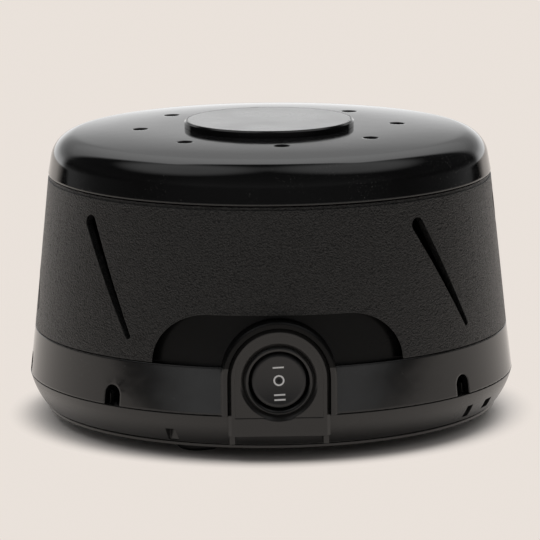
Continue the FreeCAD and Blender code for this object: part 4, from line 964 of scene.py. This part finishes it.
class StageOperator(bpy.types.Operator):
    """Sets up the pale floor, the soft light and the camera"""

    bl_idname = "sound_machine.stage"
    bl_label = "Studio"

    def execute(self, context):
        settings = context.scene.sound_stage
        context.scene.view_settings.view_transform = "Standard"
        self.camera(context, settings)
        self.floor(settings)
        self.lamp(settings)
        self.sky(context, settings)
        return {"FINISHED"}

    def camera(self, context, settings):
        data = bpy.data.cameras.new("camera")
        data.sensor_width = FRAME_WIDTH
        data.lens = settings.camera_lens
        data.clip_start = 0.01
        data.clip_end = 50.0
        camera = bpy.data.objects.new("camera", data)
        way = Vector(settings.camera_way).normalized()
        level = way.cross(UP).normalized()
        above = level.cross(way)
        turn = settings.camera_roll
        right = level * math.cos(turn) + above * math.sin(turn)
        top = above * math.cos(turn) - level * math.sin(turn)
        camera.matrix_world = Matrix((
            (right.x, top.x, -way.x, settings.camera_place[0]),
            (right.y, top.y, -way.y, settings.camera_place[1]),
            (right.z, top.z, -way.z, settings.camera_place[2]),
            (0, 0, 0, 1)))
        context.scene.collection.objects.link(camera)
        context.scene.camera = camera

    def floor(self, settings):
        bm = bmesh.new()
        bmesh.ops.create_grid(bm, x_segments=1, y_segments=1, size=FLOOR_REACH)
        mesh = bpy.data.meshes.new("floor")
        bm.to_mesh(mesh)
        bm.free()
        floor = placed("floor", mesh)
        made = Finish("pale_floor", settings.shade_colour, 0.9)
        seen = made.node("ShaderNodeLightPath", out="Is Camera Ray")
        mirrored = made.node("ShaderNodeLightPath", out="Is Glossy Ray")
        flat = made.node("ShaderNodeEmission", {}, {"Color": (*settings.floor_colour, 1.0), "Strength": 1.0})
        dark = made.node("ShaderNodeEmission", {}, {"Strength": 0.0})
        spread = made.node("ShaderNodeVectorMath", {"operation": "LENGTH"}, {0: made.place}, "Value")
        back = made.node("ShaderNodeSeparateXYZ", {}, {0: made.place}, "Y") / spread
        lit = made.between(spread, settings.shadow_near, settings.shadow_far) * (seen + mirrored)
        beyond = made.between(spread, *FAR_FLOOR) * (1.0 - made.between(back, *FLOOR_BACK)) * mirrored
        shaded = Value(made, made.shader.outputs[0])
        mixed = made.node("ShaderNodeMixShader", {}, {0: lit, 1: shaded, 2: flat})
        mixed = made.node("ShaderNodeMixShader", {}, {0: beyond, 1: mixed, 2: dark})
        made.put(made.tree.nodes["Material Output"].inputs["Surface"], mixed)
        mesh.materials.append(made.material)

    def lamp(self, settings):
        for name, place, aim, size, share in LAMPS:
            data = bpy.data.lights.new(name, "AREA")
            data.shape = "SQUARE"
            data.size = size
            data.energy = settings.key_power * share
            lamp = bpy.data.objects.new(name, data)
            lamp.visible_glossy = False
            way = Vector(aim) - Vector(place)
            lamp.matrix_world = Matrix.Translation(place) @ way.to_track_quat("-Z", "Y").to_matrix().to_4x4()
            bpy.context.scene.collection.objects.link(lamp)

    def sky(self, context, settings):
        world = bpy.data.worlds.new("studio")
        context.scene.world = world
        world.use_nodes = True
        world.cycles.sampling_method = "NONE"
        graph = Graph(world.node_tree)
        way = graph.node("ShaderNodeTexCoord", out="Generated")
        back = graph.node("ShaderNodeSeparateXYZ", {}, {0: way}, "Y")
        rise = graph.node("ShaderNodeSeparateXYZ", {}, {0: way}, "Z")
        behind = graph.node("ShaderNodeValToRGB", {"stops": LIGHT_BEHIND}, {0: rise})
        before = graph.node("ShaderNodeValToRGB", {"stops": LIGHT_AHEAD}, {0: rise})
        level_back = back / (1.0 - rise * rise) ** 0.5
        ahead = graph.between(level_back, *AHEAD_EDGE, 1.0, 0.2)
        side = graph.between(level_back, *BACK_EDGE)
        shiny = side * behind * BEHIND_GAIN + (1.0 - side) * before * ahead
        for lobe, strength in OVERHEAD:
            near = graph.node("ShaderNodeVectorMath", {"operation": "DOT_PRODUCT"},
                              {0: way, 1: Vector(lobe).normalized()}, "Value")
            shiny = shiny + strength * graph.between(near, *OVERHEAD_EDGE)
        seen = graph.node("ShaderNodeLightPath", out="Is Camera Ray")
        mirrored = graph.node("ShaderNodeLightPath", out="Is Glossy Ray")
        soft = graph.node("ShaderNodeMapRange", {}, {"Value": back, "From Min": -0.3, "From Max": 0.8,
                                                     "To Min": 0.4, "To Max": 1.5})
        level = seen + mirrored * shiny + (1.0 - seen - mirrored) * soft * settings.ambient
        background = graph.tree.nodes["Background"]
        graph.put(background.inputs["Strength"], level)
        pale = tuple(c / max(settings.floor_colour) * 0.85 for c in settings.floor_colour)
        colour = graph.node("ShaderNodeMix", {"data_type": "RGBA"},
                            {0: seen, 6: (1.0, 1.0, 1.0, 1.0), 7: (*pale, 1.0)}, 2)
        graph.put(background.inputs["Color"], colour)


class CapOperator(bpy.types.Operator):
    """Makes the polished cap with its medallion"""

    bl_idname = "sound_machine.cap"
    bl_label = "Cap"

    def execute(self, context):
        cap = placed("turning_cap", cap_mesh(context.scene.sound_shell))
        stand_for(cap, "cap")
        dressed("medallion_base", True)
        dressed("medallion_face", True)
        return {"FINISHED"}


class CollarOperator(bpy.types.Operator):
    """Makes the grained collar that turns round the drum"""

    bl_idname = "sound_machine.collar"
    bl_label = "Collar"

    def execute(self, context):
        dressed("collar", True)
        return {"FINISHED"}


class HousingOperator(bpy.types.Operator):
    """Makes the housing, the pan below it and the cord bush"""

    bl_idname = "sound_machine.housing"
    bl_label = "Housing and pan"

    def execute(self, context):
        self.dull_drum(dressed("housing", True, HOOD_HALF_WIDTH))
        dressed("base_pan", True, HOOD_HALF_WIDTH)
        dressed("cord_gland")
        dressed("rubber_feet")
        return {"FINISHED"}

    def dull_drum(self, shell):
        """The drum behind the collar keeps its duller moulded finish."""
        shell.data.materials.append(dull_black("dull_drum", (0.004, 0.004, 0.004)))
        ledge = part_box("collar")[0].z
        for face in shell.data.polygons:
            if face.center.z > ledge:
                face.material_index = 1


class SwitchOperator(bpy.types.Operator):
    """Makes the round rocker switch with its printed marks"""

    bl_idname = "sound_machine.switch"
    bl_label = "Switch"

    def execute(self, context):
        dressed("switch_body")
        dressed("switch_rocker")
        dressed("switch_terminals")
        self.marks(context.scene.sound_switch)
        return {"FINISHED"}

    def marks(self, settings):
        """Thin raised print that follows the hollow of the rocker's face."""
        bm = bmesh.new()
        half, thin = settings.mark_width / 2, settings.stroke / 2
        for rise in (settings.bar_high, -settings.bar_low + settings.bar_gap / 2,
                     -settings.bar_low - settings.bar_gap / 2):
            rows = [[(x, rise + side * thin) for x in np.linspace(-half, half, 9)] for side in (-1, 1)]
            self.band(bm, settings, rows, False)
        outer, inner = settings.ring_radius, settings.ring_radius - settings.stroke
        turns = np.linspace(0, 2 * math.pi, 40, endpoint=False)
        rows = [[(r * math.cos(a), r * math.sin(a)) for a in turns] for r in (inner, outer)]
        self.band(bm, settings, rows, True)
        bmesh.ops.recalc_face_normals(bm, faces=bm.faces)
        marks = placed("rocker_marks", mesh_of(bm, "rocker_marks"))
        marks.data.materials.append(white_ink("white_print"))
        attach(marks, body_of("switch_rocker"))
        slot_of("switch_rocker")

    def band(self, bm, settings, rows, closed):
        """A closed strip of print between two rows of points, with a thin edge."""
        turn = settings.mark_turn
        rim = math.sqrt(settings.hollow ** 2 - settings.face_radius ** 2)

        def on_face(x, z, proud):
            x, z = x * math.cos(turn) - z * math.sin(turn), x * math.sin(turn) + z * math.cos(turn)
            hollow = math.sqrt(settings.hollow ** 2 - x * x - z * z) - rim
            return bm.verts.new((x, ROCKER_FACE_Y + hollow - proud, ROCKER_Z + z))

        layers = [[[on_face(x, z, proud) for x, z in row] for row in rows]
                  for proud in (-settings.sunk, settings.proud)]
        (low_a, low_b), (top_a, top_b) = layers
        count = len(low_a)
        for k in range(count if closed else count - 1):
            n = (k + 1) % count
            bm.faces.new((top_a[k], top_a[n], top_b[n], top_b[k]))
            bm.faces.new((low_a[k], low_b[k], low_b[n], low_a[n]))
            bm.faces.new((low_a[k], low_a[n], top_a[n], top_a[k]))
            bm.faces.new((low_b[k], top_b[k], top_b[n], low_b[n]))
        if not closed:
            for k in (0, -1):
                bm.faces.new((low_a[k], top_a[k], top_b[k], low_b[k]))


class MotorOperator(bpy.types.Operator):
    """Dresses the motor, its fan and its mounts"""

    bl_idname = "sound_machine.motor"
    bl_label = "Motor and fan"

    def execute(self, context):
        for node in ("stator_core", "shading_rings", "coil_bobbin", "upper_bracket", "lower_bracket",
                     "upper_bush", "lower_bush", "rotor_core", "rotor_shaft", "fan_wheel", "motor_grommets"):
            dressed(node)
        wound_coil("field_coil", context.scene.sound_motor)
        return {"FINISHED"}


class FastenerOperator(bpy.types.Operator):
    """Dresses the screws and the washer"""

    bl_idname = "sound_machine.fasteners"
    bl_label = "Fasteners"

    def execute(self, context):
        settings = context.scene.sound_motor
        dressed("cap_washer")
        for node, (head_height, shank_radius) in SCREWS.items():
            screws(node, settings, head_height, shank_radius, upside_down=node == "base_screws")
        return {"FINISHED"}


STEPS = (StageOperator, CapOperator, CollarOperator, HousingOperator, SwitchOperator, MotorOperator,
         FastenerOperator)


class SoundMachinePanel(bpy.types.Panel):
    """Lists the pieces in the order in which they are made"""

    bl_idname = "VIEW3D_PT_sound_machine"
    bl_label = "Sound machine"
    bl_space_type = "VIEW_3D"
    bl_region_type = "UI"
    bl_category = "Sound machine"

    def draw(self, context):
        for step in STEPS:
            self.layout.operator(step.bl_idname)
        for group in (context.scene.sound_shell, context.scene.sound_switch, context.scene.sound_motor,
                      context.scene.sound_stage):
            box = self.layout.box()
            for name in group.bl_rna.properties.keys():
                if name not in ("rna_type", "name"):
                    box.prop(group, name)


GROUPS = {"sound_shell": ShellSettings, "sound_switch": SwitchSettings, "sound_motor": MotorSettings,
          "sound_stage": StageSettings}


def register():
    for kind in (*GROUPS.values(), *STEPS, SoundMachinePanel):
        bpy.utils.register_class(kind)
    for name, kind in GROUPS.items():
        setattr(bpy.types.Scene, name, bpy.props.PointerProperty(type=kind))


def unregister():
    for name in GROUPS:
        delattr(bpy.types.Scene, name)
    for kind in (SoundMachinePanel, *reversed(STEPS), *reversed(GROUPS.values())):
        bpy.utils.unregister_class(kind)


def main():
    register()
    for step in STEPS:
        family, name = step.bl_idname.split(".")
        getattr(getattr(bpy.ops, family), name)()


if __name__ == "__main__":
    main()
